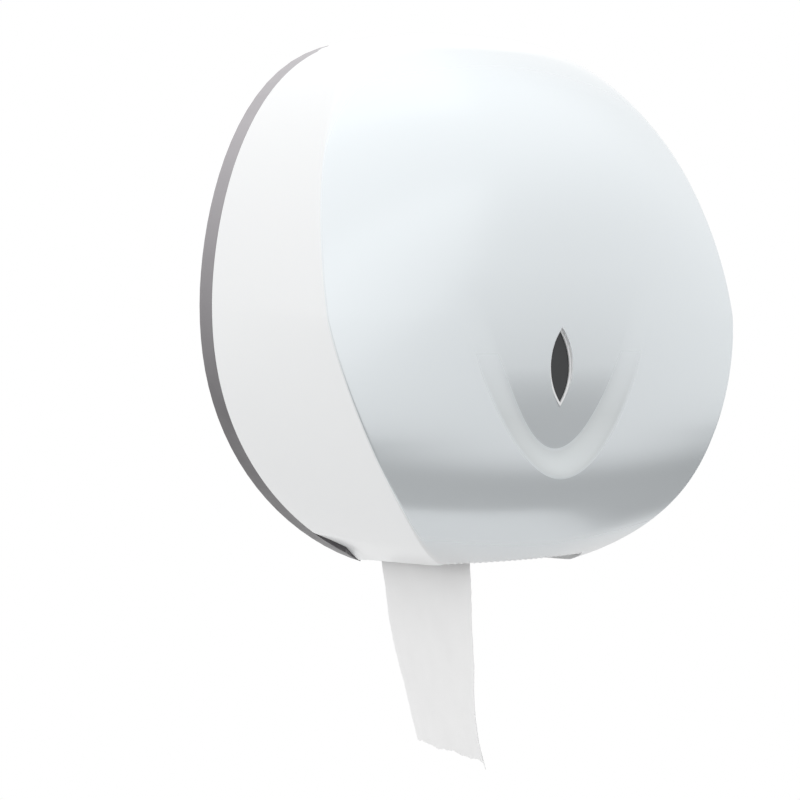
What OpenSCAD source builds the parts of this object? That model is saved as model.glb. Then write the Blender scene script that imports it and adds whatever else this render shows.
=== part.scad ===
// Jumbo toilet roll dispenser: a wall box with a lift-up cover, a free-running roll and a key lock.
// Wall plane at y = 0, the front towards -y, z up, millimetres.

/* [Body outline at the wall] */
// Width of the body at its widest
body_w = 246; // [225:1:270]
// Height above the wall centre where the body is widest
widest_z = -1.5; // [-12:0.5:6]
// Rise of the outline above its widest line
body_rise = 134.5; // [126:0.5:145]
// Drop of the outline below its widest line
body_drop = 138; // [130:0.5:150]
// Roundness of the upper half, 2 is an ellipse
rise_power = 1.8; // [1.6:0.05:2.2]
// Roundness of the lower half
drop_power = 2.2; // [2:0.05:2.5]
// Flatness of the top
rise_flat = 3.15; // [2.6:0.05:3.5]
// Flatness of the bottom, lower is more pointed
drop_flat = 1.7; // [1.5:0.05:2]

/* [Front outline] */
// How much narrower the front edge is on each side
side_draft = 0.5; // [0.3:0.1:3]
// Height where the front edge is widest
front_widest_z = -6; // [-15:0.5:0]
// Rise of the front edge above its widest line
front_rise = 137.5; // [128:0.5:150]
// Drop of the front edge below its widest line
front_drop = 126.5; // [118:0.5:138]
// Roundness of the upper half of the front edge
front_rise_power = 1.95; // [1.8:0.05:2.3]
// Roundness of the lower half of the front edge
front_drop_power = 1.4; // [1.3:0.05:1.6]
// Flatness of the top of the front edge
front_rise_flat = 3.05; // [2.6:0.05:3.3]
// Flatness of the bottom of the front edge
front_drop_flat = 2.55; // [2.2:0.05:2.8]

/* [Front profile] */
// Depth from the wall to the front edge where it is deepest
edge_depth = 122.5; // [112:0.5:135]
// Height of the deepest line
deep_z = -63.5; // [-72:0.5:-50]
// How far the front edge leans back at the top
top_recede = 62.5; // [50:0.5:70]
// How fast the edge leans back towards the top
top_power = 1.7; // [1.5:0.05:2.2]
// How far the front curls back at the bottom
bottom_recede = 39; // [30:0.5:45]
// How fast it curls back towards the bottom
bottom_power = 3.1; // [2.6:0.05:3.6]
// How far the middle of the front stands proud of its edges
crown = 7.5; // [4:0.5:12]
// How far the middle of the front leans back at the top
mid_recede = 64; // [55:0.5:75]
// How fast the middle leans back towards the top
mid_power = 4.1; // [3:0.05:4.5]
// Width of the soft edge along the sides of the front
edge_round = 1.2; // [0.8:0.1:3]
// Width of the soft edge across the top of the front
top_round = 9; // [8:1:22]
// Height from which the soft edge grows
round_from_z = 62; // [40:1:90]

/* [Scoop] */
// Height of the lowest point of the scoop
scoop_z = -83.5; // [-90:0.5:-75]
// Spread of the outer edge of the scoop
scoop_spread = 41; // [32:1:50]
// Height of the step at the lowest point of the scoop
scoop_step = 13.5; // [8:0.5:18]
// Spread of the foot of the step
floor_spread = 34; // [28:1:40]
// Depth of the scoop at its lowest point
scoop_depth = 4.6; // [2:0.1:6]
// Height where the scoop runs out
scoop_top = 14; // [0:1:30]

/* [Window] */
// Height of the centre of the window
window_z = -30.5; // [-36:0.5:-25]
// Height of the window
window_h = 37.6; // [28:0.2:44]
// Width of the window
window_w = 13.6; // [9:0.2:18]
// How far the seat of the lens lies behind the middle of the front
lens_sink = 6.3; // [5.5:0.1:7.5]
// Width of the flange of the lens
lens_flange = 2.5; // [1.5:0.1:4]
// Thickness of the flange of the lens
lens_flange_t = 1.5; // [1:0.1:3]
// How far the lens reaches into the window
lens_reach = 3.1; // [1:0.1:3.6]
// Width of the rim round the lens
rim_width = 1.1; // [0.7:0.1:2]
// Height of the rim round the lens
rim_lift = 0.7; // [0.3:0.1:1]

/* [Walls] */
// Wall of the cover
cover_wall = 2.5; // [2:0.1:3.5]
// Depth of the bare rim of the base along the sides
rim_depth = 12; // [10:0.5:16]
// Thickness of the back plate
plate_t = 2.5; // [2:0.1:3]
// Gap between the cover and the base
cover_gap = 0.3; // [0.2:0.05:0.6]
// Gap between the wall and the cover across the top
top_gap = 6.5; // [6:0.1:9]
// Gap between the wall and the cover across the bottom
bottom_gap = 1; // [0.5:0.1:3]
// Half width where the upper end of the rim begins at the wall
rim_top_x = 48; // [44:1:56]
// Half width where the lower end of the rim begins at the wall
rim_low_x = 29; // [27:0.5:34]
// Sideways run of the slanted upper end of the rim
rim_top_run = 15; // [8:1:18]
// Sideways run of the slanted lower end of the rim
rim_low_run = 17; // [12:1:20]
// Height of the lip that guides the cover onto the base
lip_h = 3; // [2:0.1:5]
// Lowest and highest point of that lip
lip_low_z = -100; // [-105:1:-80]
lip_top_z = 30; // [0:1:60]
// Width of the bare ledge in front of the rim's lower ends
ledge = 2.6; // [0:0.1:3]

/* [Paper slot] */
// How far the slot reaches to the left at the teeth
slot_left = 46.5; // [40:0.5:48]
// How far the slot reaches to the right at the teeth
slot_right = 37.5; // [32:0.5:42]
// Half width of the slot at the wall
slot_back = 31.5; // [31:0.5:36]
// Height of the tips of the cutting teeth
teeth_z = -124.5; // [-127:0.5:-121]
// Pitch of the cutting teeth
tooth_pitch = 3.2; // [2.4:0.1:5]
// Height of the cutting teeth
tooth_h = 1.4; // [0.8:0.1:2.5]

/* [Back plate] */
// Distance between the wall screws along x
screw_x = 150; // [130:1:160]
// Distance between the wall screws along z
screw_z = 100; // [90:1:110]
// Height of the centre of the wall screws
screw_mid_z = -2; // [-10:1:5]
// Radius of the wall screw holes
screw_hole_r = 3; // [2.2:0.1:3.5]
// Height of the plate's bosses and ribs
rib_h = 2; // [1:0.1:2.4]
// Thickness of the ribs
rib_t = 2; // [1.4:0.1:3]

/* [Hinge] */
// Distance from the wall to the hinge axis
hinge_y = 26; // [25:0.5:28]
// Distance from the body's top down to the hinge axis
hinge_drop = 10; // [9:0.2:11]
// Radius of the hinge pins
pin_r = 2; // [1.5:0.1:2.4]
// Radius of the hinge knuckles
knuckle_r = 4; // [3.6:0.1:4.4]
// Half width to the middle of each base knuckle
knuckle_x = 34; // [31:0.5:36]
// Length of a knuckle
knuckle_l = 7; // [5:0.5:7.5]
// Gap between knuckles
knuckle_gap = 0.5; // [0.3:0.1:0.8]
// Running clearance of the hinge pins
pin_clear = 0.06; // [0.03:0.01:0.1]

/* [Roll] */
// Radius of the paper roll
roll_r = 88; // [70:1:90]
// Width of the paper
paper_w = 91; // [80:0.5:92]
// Gap behind the roll
roll_gap = 3; // [2.6:0.1:4]
// Outer radius of the cardboard core
core_r = 31; // [28:0.5:36]
// Wall of the cardboard core
core_wall = 2.5; // [1.5:0.1:3.5]

/* [Spindle] */
// Height of the spindle
spindle_z = -8; // [-12:0.5:-4]
// Radius of the spindle
spindle_r = 7; // [5:0.1:9]
// Radius of the foot of the spindle
foot_r = 24; // [20:0.5:26]
// Thickness of the foot of the spindle
foot_t = 3.5; // [2.5:0.1:5]
// Radius of the sleeve of the hub
sleeve_r = 10; // [9.2:0.1:14]
// Thickness of the hub's fins
fin_t = 2.4; // [1.6:0.1:4]
// Number of fins on the hub
fin_count = 6; // [4:1:8]
// Running clearance of the hub on the spindle
hub_clear = 0.05; // [0.02:0.01:0.1]
// Thickness of the washer in front of the hub
washer_t = 1.5; // [1:0.1:2.5]
// Radius of the washer in front of the hub
washer_r = 12; // [11:0.5:16]
// Radius of the cap over the hub screw
cap_r = 15; // [14:0.5:18]
// Wall of the cap
cap_wall = 1.2; // [0.8:0.1:2]

/* [Lock] */
// Place of the lock round the lower outline, in degrees
lock_a = -62; // [-65:1:-58]
// Distance from the wall to the lock
lock_y = 46; // [42:1:52]
// Radius of the lock's flange
lock_flange_r = 10.5; // [9.5:0.1:12]
// Thickness of the lock's flange
lock_flange_t = 1.2; // [1:0.1:2]
// Radius of the lock's sleeve
lock_sleeve_r = 7.8; // [7:0.1:8.2]
// Length of the lock's sleeve under its flange
lock_sleeve_l = 16.8; // [15:0.1:18]
// Radius of the turning barrel
barrel_r = 5; // [4:0.1:5.6]
// Radius of the barrel's head
barrel_head_r = 6.4; // [6:0.1:6.8]
// Length of the lock's cam
cam_l = 14.3; // [13:0.1:14.5]
// Width of the lock's cam
cam_w = 8; // [6:0.1:9]
// Thickness of the lock's cam
cam_t = 2; // [1.5:0.1:3]
// Thickness of the sheet of the keeper
keeper_t = 2.5; // [1.5:0.1:3]

/* [Paper tail] */
// How far the tail hangs below the teeth
tail_drop = 98; // [40:1:140]
// Sideways place of the tail's wall edge at the slot
tail_back_x = -19; // [-24:0.5:-10]
// Sideways place of the tail's front edge at the slot
tail_front_x = -30; // [-34:0.5:-22]
// Thickness of the tail
tail_t = 0.5; // [0.4:0.1:1]

/* [Hidden] */

white = [0.93, 0.94, 0.95];
grey = [0.55, 0.54, 0.56];
steel = [0.72, 0.73, 0.75];
brass = [0.80, 0.68, 0.40];
paper = [0.95, 0.95, 0.94];
card = [0.70, 0.60, 0.46];
smoke = [0.16, 0.16, 0.17];

round_fn = 64;
over = 1; // how far a cut runs past a face
loose = 0.1; // radial gap of pieces that are pushed together by hand
snug = 0.02; // radial gap of pressed and screwed pieces

// Outlines: half width, widest height, rise, drop, roundness above and below, flatness above and below
wall_line = [body_w / 2, widest_z, body_rise, body_drop, rise_power, drop_power, rise_flat, drop_flat];
front_line = [body_w / 2 - side_draft, front_widest_z, front_rise, front_drop,
              front_rise_power, front_drop_power, front_rise_flat, front_drop_flat];
front_top_z = front_widest_z + front_rise;
front_low_z = front_widest_z - front_drop;

function clamp01(v) = min(1, max(0, v));
function ease(v) = let(c = clamp01(v)) c * c * (3 - 2 * c);
function mix(a, b, k) = a + (b - a) * k;

// How far an outline lies from its middle in the direction [c, s], found in a few steps from the box round it
function reach(o, c, s, r, steps) = steps == 0 ? r : let(
    flat = s >= 0 ? o[6] : o[7],
    bend = s >= 0 ? o[4] : o[5],
    u = pow(abs(r * c / o[0]), flat),
    v = pow(abs(r * s / (s >= 0 ? o[2] : o[3])), bend)
) reach(o, c, s, r * (1 - (u + v - 1) / (flat * u + bend * v)), steps - 1);
// A point of an outline at angle a, as [x, z]
function outline_pt(o, a) = let(
    c = cos(a), s = sin(a),
    box = 1 / max(abs(c) / o[0], abs(s) / (s >= 0 ? o[2] : o[3])),
    r = reach(o, c, s, box, 6)
) [r * c, o[1] + r * s];
// The outward normal of an outline at angle a
function outline_normal(o, a) = let(
    d = outline_pt(o, a + 1.5) - outline_pt(o, a - 1.5)
) [d[1], -d[0]] / norm(d);
function inset_pt(o, a, inset) = outline_pt(o, a) - outline_normal(o, a) * inset;
function outline_loop(o, inset, count) = [for (i = [0:count - 1]) inset_pt(o, 360 * i / count, inset)];
// Half width of an outline at height z
function outline_w(o, z) = let(
    t = z - o[1],
    share = min(abs(t / (t >= 0 ? o[2] : o[3])), 1),
    left = 1 - pow(share, t >= 0 ? o[4] : o[5])
) o[0] * pow(max(left, 0), 1 / (t >= 0 ? o[6] : o[7]));

// Depth of the front edge and of the middle of the front at height z
function up_part(z) = clamp01((z - deep_z) / (front_top_z - deep_z));
function low_part(z) = clamp01((deep_z - z) / (deep_z - front_low_z));
function low_curl(z) = bottom_recede * pow(low_part(z), bottom_power);
function edge_y(z) = -edge_depth + top_recede * pow(up_part(z), top_power) + low_curl(z);
function mid_y(z) = -edge_depth - crown + mid_recede * pow(up_part(z), mid_power) + low_curl(z);
// How deep the scoop is cut at a point of the front
function scoop(x, z) = let(
    rim_z = scoop_z + x * x / scoop_spread,
    foot_z = scoop_z + scoop_step + x * x / floor_spread,
    fade = clamp01((scoop_top - z) / (scoop_top - scoop_z))
) scoop_depth * pow(fade, 1.5) * ease((z - rim_z) / (foot_z - rim_z));
function front_y(x, z) = let(
    w = max(outline_w(front_line, z), 1),
    across = 1 - pow(clamp01(abs(x) / w), 2)
) mix(edge_y(z), mid_y(z), across) + scoop(x, z);

// The shell of the cover: rings of points from behind the wall plane round to the middle of the front
mid = [0, window_z - 5];
function ring_xz(a, k, inset) = mid + (inset_pt(front_line, a, inset) - mid) * k;
function soft_edge(a) = let(z = outline_pt(front_line, a)[1])
    mix(edge_round, top_round, ease((z - round_from_z) / (front_top_z - round_from_z)));
function front_pt(a, k, inset) = let(
    q = ring_xz(a, k, inset),
    slope = (front_y(q[0], q[1] + 2) - front_y(q[0], q[1] - 2)) / 4
) [q[0], front_y(q[0], q[1]) + inset * min(sqrt(1 + slope * slope), 1.5), q[1]];
function edge_pt(a, inset) = let(q = inset_pt(front_line, a, inset), z = outline_pt(front_line, a)[1])
    [q[0], edge_y(z) + inset, q[1]];
function wall_pt(a, y, inset) = let(q = inset_pt(wall_line, a, inset)) [q[0], y, q[1]];
// How far the cover stands back from the rim, next to the rim's lower ends
function ledge_at(a) = let(q = outline_pt(wall_line, a))
    q[1] > 0 ? 0 : ledge * max(0, 1 - pow((abs(q[0]) - rim_low_x - rim_low_run) / 19, 2));
// Point on the side wall, part k of the way from the rim to the front edge
function side_pt(a, k, inset) = let(p = wall_pt(a, -rim_depth, inset + ledge_at(a)), q = edge_pt(a, inset))
    p + (q - p) * k;
// Share of the side wall, and of the way to the middle, that the soft edge takes
function side_share(a) = 1 - soft_edge(a) / norm(side_pt(a, 1, 0) - side_pt(a, 0, 0));
function front_share(a) = 1 - soft_edge(a) / norm(outline_pt(front_line, a) - mid);
function edge_curve(a, t, inset) = let(
    p = side_pt(a, side_share(a), inset),
    c = edge_pt(a, inset),
    q = front_pt(a, front_share(a), inset)
) p * (1 - t) * (1 - t) + c * 2 * t * (1 - t) + q * t * t;

function shell_rings(count, sides, edges, fronts, inset) = let(step = 360 / count) concat(
    [[for (i = [0:count - 1]) wall_pt(i * step, over + inset, inset)]],
    [for (k = [0:sides - 1]) [for (i = [0:count - 1])
        side_pt(i * step, side_share(i * step) * k / sides, inset)]],
    [for (k = [0:edges]) [for (i = [0:count - 1]) edge_curve(i * step, k / edges, inset)]],
    [for (k = [1:fronts - 1]) [for (i = [0:count - 1])
        front_pt(i * step, front_share(i * step) * (1 - k / fronts), inset)]]
);

// Points round the outline, then rings up the side, over the soft edge and across the front
outer_grid = [96, 3, 4, 22];
inner_grid = [48, 3, 2, 13];
// Solid between the wall plane and the front, drawn in by inset
module shell_solid(grid, inset) {
    count = grid[0];
    rings = shell_rings(count, grid[1], grid[2], grid[3], inset);
    last = len(rings) - 1;
    tip = (last + 1) * count;
    points = concat([for (r = rings) each r], [front_pt(0, 0, inset)]);
    walls = [for (r = [0:last - 1]) for (i = [0:count - 1]) let(
        a = r * count + i, b = r * count + (i + 1) % count, c = b + count, d = a + count
    ) each [[a, c, b], [a, d, c]]];
    nose = [for (i = [0:count - 1]) [last * count + i, tip, last * count + (i + 1) % count]];
    back = [[for (i = [0:count - 1]) i]];
    polyhedron(points, concat(walls, nose, back));
}

// A shape drawn in x and z, standing from depth y0 to depth y1, both measured from the wall
module upright(y0, y1) {
    translate([0, -y0, 0]) rotate([90, 0, 0]) linear_extrude(y1 - y0) children();
}
// A round post or hole from depth y0 to depth y1
module post(x, z, r, y0, y1) {
    translate([x, -y0, z]) rotate([90, 0, 0]) cylinder(r = r, h = y1 - y0, $fn = round_fn);
}
module both_sides() {
    children();
    mirror([1, 0, 0]) children();
}

// Screw with a flat round head that sits at depth y and a shank that runs back towards the wall
module pan_screw(x, z, y, head_r, head_h, shank_r, shank_l) {
    difference() {
        union() {
            post(x, z, head_r, y, y + head_h);
            post(x, z, shank_r, y - shank_l, y);
        }
        for (turn = [0, 90]) {
            translate([x, -y - head_h, z]) rotate([0, turn, 0])
                cube([head_r * 1.3, head_h, head_r * 0.3], center = true);
        }
    }
}

// ---- Base ----

hidden_inset = cover_wall + 1.5; // how far the plate keeps inside the cover at its top and bottom
lip_x = rim_low_x + rim_low_run + 20; // half width where the guide lip begins
// Footprint of one end of the rim in x and y: all that is further out belongs to the base
module rim_end(x, run, gap) {
    start = x - gap * norm([run, rim_depth]) / rim_depth;
    polygon([[start, over], [start, 0], [start + run * (rim_depth + gap) / rim_depth, -rim_depth - gap],
             [body_w, -rim_depth - gap], [body_w, over]]);
}
// Space of the rim on both sides, grown by gap
module rim_space(gap) {
    both_sides() {
        linear_extrude(body_rise + body_drop) rim_end(rim_top_x, rim_top_run, gap);
        mirror([0, 0, 1]) linear_extrude(body_rise + body_drop) rim_end(rim_low_x, rim_low_run, gap);
    }
}

wall_holes = [for (sx = [-1, 1]) for (sz = [-1, 1]) [sx * screw_x / 2, screw_mid_z + sz * screw_z / 2]];
pad_t = plate_t + rib_h; // depth of the pads and ribs of the plate
foot_y = pad_t; // depth where the foot of the spindle sits
spindle_screw_r = foot_r - 6; // radius of the circle of the spindle's screws
spindle_screw_at = [for (i = [0:2]) [spindle_screw_r * cos(90 + 120 * i),
                                     spindle_z + spindle_screw_r * sin(90 + 120 * i)]];
hole_pad_r = screw_hole_r + 4;
hub_pad_r = foot_r + 6;
hinge_z = widest_z + body_rise - hinge_drop; // height of the hinge axis
swing_r = norm([hinge_y - top_gap, hinge_drop]); // reach of the cover's back edge
bracket_top = hinge_z - swing_r - 1;
bracket_low = spindle_z + roll_r + 3;
bracket_back = hinge_y - 1; // depth of the back of the knuckles' posts

module knuckle_bracket() {
    translate([knuckle_x - knuckle_l / 2, 0, 0]) rotate([90, 0, 90]) linear_extrude(knuckle_l)
        polygon([[-plate_t + over / 2, bracket_low], [-hinge_y - knuckle_r, bracket_low + 5],
                 [-hinge_y - knuckle_r, hinge_z], [-bracket_back, hinge_z],
                 [-bracket_back, bracket_top], [-plate_t + over / 2, bracket_top]]);
    translate([knuckle_x - knuckle_l / 2, -hinge_y, hinge_z]) rotate([0, 90, 0])
        cylinder(r = knuckle_r, h = knuckle_l, $fn = round_fn);
}

module back_plate() {
    color(grey) difference() {
        union() {
            // plate, drawn in where the cover reaches back to the wall
            upright(0, plate_t) polygon(outline_loop(wall_line, hidden_inset, 72));
            intersection() {
                upright(0, rim_depth) difference() {
                    polygon(outline_loop(wall_line, 0, 96));
                    polygon(outline_loop(wall_line, hidden_inset + 0.5, 96));
                }
                rim_space(0);
            }
            // guide lip that stands inside the cover's sides
            intersection() {
                upright(rim_depth - 1, rim_depth + lip_h) difference() {
                    polygon(outline_loop(wall_line, cover_wall + 0.8, 96));
                    polygon(outline_loop(wall_line, hidden_inset + 0.5, 96));
                }
                both_sides() translate([lip_x, -2 * rim_depth, lip_low_z])
                    cube([body_w / 2, 2 * rim_depth, lip_top_z - lip_low_z]);
            }
            // pads for the spindle and the wall screws
            post(0, spindle_z, hub_pad_r, plate_t - over, pad_t);
            for (p = wall_holes) post(p[0], p[1], hole_pad_r, plate_t - over, pad_t);
            // ribs between the pads
            upright(plate_t - over, pad_t) {
                for (p = wall_holes) {
                    run = p - [0, spindle_z];
                    translate([0, spindle_z]) rotate(atan2(run[1], run[0]))
                        translate([hub_pad_r - 2, -rib_t / 2]) square([norm(run) - hub_pad_r, rib_t]);
                }
            }
            upright(plate_t - over, pad_t) difference() {
                circle_at(0, spindle_z, roll_r - 4);
                circle_at(0, spindle_z, roll_r - 4 - rib_t);
            }
            both_sides() knuckle_bracket();
        }
        for (p = wall_holes) post(p[0], p[1], screw_hole_r, -over, pad_t + over);
        for (p = spindle_screw_at) post(p[0], p[1], 1.3, 0.8, pad_t + over);
        for (p = keeper_screw_at) post(p[0], p[1], 1.3, 0.8, pad_t + over);
        both_sides() translate([knuckle_x - knuckle_l, -hinge_y, hinge_z]) rotate([0, 90, 0])
            cylinder(r = pin_r + pin_clear, h = 2 * knuckle_l, $fn = round_fn);
    }
}
module circle_at(x, z, r) {
    translate([x, z]) circle(r = r, $fn = 96);
}

// ---- Spindle and roll ----

roll_back = plate_t + roll_gap; // depth of the back face of the roll
roll_front = roll_back + paper_w;
end_play = 0.3;
hub_back = foot_y + foot_t + end_play;
hub_front = roll_front + 3;
spindle_end = hub_front + end_play;
core_bore_r = core_r - core_wall;
fin_r = core_bore_r - loose;
hub_screw_r = 2.5;
screw_seat_y = foot_y + foot_t - 1.8; // sunk seats of the spindle's screws
spindle_bore_l = 22; // depth of the bore for the hub's screw

module spindle() {
    color(white) difference() {
        union() {
            post(0, spindle_z, foot_r, foot_y, foot_y + foot_t);
            post(0, spindle_z, spindle_r, foot_y + foot_t, spindle_end);
            post(0, spindle_z, sleeve_r, foot_y + foot_t - over, foot_y + foot_t);
        }
        post(0, spindle_z, hub_screw_r, spindle_end - spindle_bore_l, spindle_end + over);
        for (p = spindle_screw_at) {
            post(p[0], p[1], 1.8, foot_y - over, foot_y + foot_t + over);
            post(p[0], p[1], 3.6, screw_seat_y, foot_y + foot_t + over);
        }
    }
}

module spindle_screws() {
    color(steel) for (p = spindle_screw_at) {
        pan_screw(p[0], p[1], screw_seat_y, 3.2, 1.6, 1.3 - snug, screw_seat_y - 1);
    }
}

module hub_washer() {
    color(steel) difference() {
        post(0, spindle_z, washer_r, spindle_end, spindle_end + washer_t);
        post(0, spindle_z, hub_screw_r + loose, spindle_end - over, spindle_end + washer_t + over);
    }
}

screw_head_h = 3;
module hub_screw() {
    color(steel) pan_screw(0, spindle_z, spindle_end + washer_t, 4.6, screw_head_h,
                           hub_screw_r - snug, washer_t + 18);
}

// Cap that snaps over the washer and hides the screw
module hub_cap() {
    cap_back = spindle_end;
    cap_front = spindle_end + washer_t + screw_head_h + 1.5;
    color(white) difference() {
        translate([0, -cap_back, spindle_z]) rotate([90, 0, 0]) rotate_extrude($fn = 96) polygon([
            [0, 0], [cap_r, 0], [cap_r, cap_front - cap_back - 1.5],
            for (a = [0:15:90]) [cap_r - 3 + 3 * cos(a), cap_front - cap_back - 1.5 + 3 * sin(a)],
            [0, cap_front - cap_back + 2]
        ]);
        post(0, spindle_z, washer_r + loose, cap_back - over, cap_back + washer_t);
        post(0, spindle_z, cap_r - cap_wall - 1.5, cap_back - over, cap_front);
    }
}

module roll_hub() {
    color(white) difference() {
        union() {
            post(0, spindle_z, sleeve_r, hub_back, hub_front);
            post(0, spindle_z, fin_r, hub_back, hub_back + fin_t);
            for (i = [0:fin_count - 1]) {
                translate([0, 0, spindle_z]) rotate([0, 360 * i / fin_count, 0])
                    translate([sleeve_r - 1.5, -roll_front + 2, -fin_t / 2])
                        cube([fin_r + 1.1 - sleeve_r, roll_front - 2 - hub_back - fin_t / 2, fin_t]);
            }
            post(0, spindle_z, fin_r, roll_front / 2, roll_front / 2 + fin_t);
        }
        post(0, spindle_z, spindle_r + hub_clear, hub_back - over, hub_front + over);
    }
}

module core_tube() {
    color(card) difference() {
        post(0, spindle_z, core_r, roll_back + 1, roll_front - 1);
        post(0, spindle_z, core_bore_r, roll_back, roll_front);
    }
}

module paper_roll() {
    color(paper) difference() {
        post(0, spindle_z, roll_r, roll_back, roll_front);
        post(0, spindle_z, core_r + loose, roll_back - over, roll_front + over);
    }
}

// ---- Paper tail ----

leave_a = 232; // angle where the paper leaves the roll
leave_gap = 0.3;
tail_steps = 10;
hang_steps = 10;
width_steps = 4;
// Centre line of the tail at share v of its width, part t of the way from the roll to the teeth
function lead_in(v, t) = let(
    r = roll_r + leave_gap + tail_t / 2,
    p0 = [r * cos(leave_a), spindle_z + r * sin(leave_a)],
    p1 = p0 + 20 * [-sin(leave_a), cos(leave_a)],
    p3 = [mix(tail_back_x, tail_front_x, v), teeth_z],
    p2 = p3 + [-hang_slope(v) * 20, 20],
    u = 1 - t
) p0 * u * u * u + p1 * 3 * u * u * t + p2 * 3 * u * t * t + p3 * t * t * t;
function hang_slope(v) = mix(0.1, 0.03, v);
// Sideways drift of the hanging part at depth d under the teeth
function hang(v, d) = [mix(tail_back_x, tail_front_x, v) + hang_slope(v) * d
                       + mix(0.0012, 0.0008, v) * d * d, teeth_z - d];
function tail_line(v) = concat(
    [for (i = [0:tail_steps]) lead_in(v, i / tail_steps)],
    [for (i = [1:hang_steps]) hang(v, tail_drop * i / hang_steps * mix(1.02, 0.98, v))]
);
function tail_y(v) = -mix(roll_back + 0.4, roll_front - 0.4, v);
function tail_normal(line, i) = let(
    d = line[min(i + 1, len(line) - 1)] - line[max(i - 1, 0)]
) [d[1], -d[0]] / norm(d);
function tail_side(v, s) = let(line = tail_line(v)) [for (i = [0:len(line) - 1])
    let(q = line[i] + tail_normal(line, i) * s * tail_t / 2) [q[0], tail_y(v), q[1]]];

module paper_tail() {
    rows = tail_steps + hang_steps + 1;
    lines = concat(
        [for (j = [0:width_steps]) tail_side(j / width_steps, -1)],
        [for (j = [width_steps:-1:0]) tail_side(j / width_steps, 1)]
    );
    loops = len(lines);
    points = [for (i = [0:rows - 1]) for (j = [0:loops - 1]) lines[j][i]];
    sides = [for (i = [0:rows - 2]) for (j = [0:loops - 1]) let(
        a = i * loops + j, b = i * loops + (j + 1) % loops
    ) each [[a, b + loops, b], [a, a + loops, b + loops]]];
    function end_strip(base) = [for (j = [0:width_steps - 1]) let(k = loops - 1 - j)
        each [[base + j, base + k - 1, base + k], [base + j, base + j + 1, base + k - 1]]];
    first = end_strip(0);
    final = [for (f = end_strip((rows - 1) * loops)) [f[2], f[1], f[0]]];
    color(paper) polyhedron(points, concat(sides, first, final));
}

// ---- Window ----

window_arc = (window_w * window_w + window_h * window_h) / (4 * window_w);
// Pointed window between two arcs, with its outline moved out by grow
module window_shape(grow) {
    translate([0, window_z]) intersection() {
        translate([window_w / 2 - window_arc, 0]) circle(r = window_arc + grow, $fn = 128);
        translate([window_arc - window_w / 2, 0]) circle(r = window_arc + grow, $fn = 128);
    }
}
lens_seat = edge_depth + crown - lens_sink; // depth from the wall to the seat of the lens
lens_ear_z = window_h / 2 + lens_flange + 5;
lens_ear_r = 3.4;
lens_screw_r = 1.1;
lens_pins = [window_z - lens_ear_z, window_z + lens_ear_z];

module lens_seat_boss() {
    upright(lens_seat, lens_seat + 3.2) {
        window_shape(lens_flange + 0.6);
        for (z = lens_pins) circle_at(0, z, lens_ear_r + 0.4);
    }
}

module window_lens() {
    color(smoke) difference() {
        union() {
            upright(lens_seat - lens_flange_t, lens_seat) {
                window_shape(lens_flange);
                translate([-1.6, lens_pins[0]]) square([3.2, lens_pins[1] - lens_pins[0]]);
                for (z = lens_pins) circle_at(0, z, lens_ear_r);
            }
            upright(lens_seat - 0.5, lens_seat + lens_reach) window_shape(-0.15);
        }
        for (z = lens_pins) post(0, z, lens_screw_r + loose, lens_seat - 10, lens_seat + over / 2);
    }
}

// Thin bright rim round the lens, just under the face of the cover
module window_rim() {
    color(white) upright(lens_seat + lens_reach, lens_seat + lens_reach + rim_lift) difference() {
        window_shape(-0.15);
        window_shape(-rim_width);
    }
}

module lens_screws() {
    color(steel) for (z = lens_pins) {
        mirror_depth(lens_seat - lens_flange_t)
            pan_screw(0, z, lens_seat - lens_flange_t, 2.4, 1.4, lens_screw_r - snug, lens_flange_t + 1.8);
    }
}
// Turns a piece round to face the wall, about the plane at a depth
module mirror_depth(y) {
    translate([0, -y, 0]) mirror([0, 1, 0]) translate([0, y, 0]) children();
}

// ---- Hinge pins ----

cover_knuckle_in = knuckle_x - knuckle_l / 2 - knuckle_gap; // inner face gap of the base knuckle
cover_knuckle_out = knuckle_x + knuckle_l / 2 + knuckle_gap;
module hinge_pin_right() {
    color(steel) {
        translate([cover_knuckle_in - knuckle_l, -hinge_y, hinge_z]) rotate([0, 90, 0])
            cylinder(r = pin_r, h = cover_knuckle_out - cover_knuckle_in + 2 * knuckle_l, $fn = round_fn);
        translate([cover_knuckle_in - knuckle_l - 1.2, -hinge_y, hinge_z]) rotate([0, 90, 0])
            cylinder(r = pin_r + 1.2, h = 1.2, $fn = round_fn);
    }
}
module hinge_pin_left() {
    mirror([1, 0, 0]) hinge_pin_right();
}

// ---- Lock ----

lock_side = side_pt(lock_a, 0, 0);
lock_edge = edge_pt(lock_a, 0);
lock_at = mix(lock_side, lock_edge, (lock_y - rim_depth) / (-lock_edge[1] - rim_depth));
lock_n = outline_normal(wall_line, lock_a);
lock_tilt = atan2(lock_n[0], lock_n[1]);
lock_seat = 1.2; // how far the flange's seat lies under the wall's face
boss_in = 7.5; // how far the boss reaches in
lock_washer_t = 0.8;
lock_nut_t = 4.5;
sleeve_end = lock_seat + lock_sleeve_l;
head_h = 2;
cam_top = sleeve_end + 0.3;
cam_low = cam_top + cam_t;
tang = 6;

// Moves to the lock: z leaves the cover, x runs along the wall towards the slot
module at_lock() {
    translate([lock_at[0], -lock_y, lock_at[2]]) rotate([0, lock_tilt, 0]) children();
}
// Disc on the lock's axis between two depths under the wall's face
module disc(r, d0, d1, fn = round_fn) {
    translate([0, 0, -d1]) cylinder(r = r, h = d1 - d0, $fn = fn);
}

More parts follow.
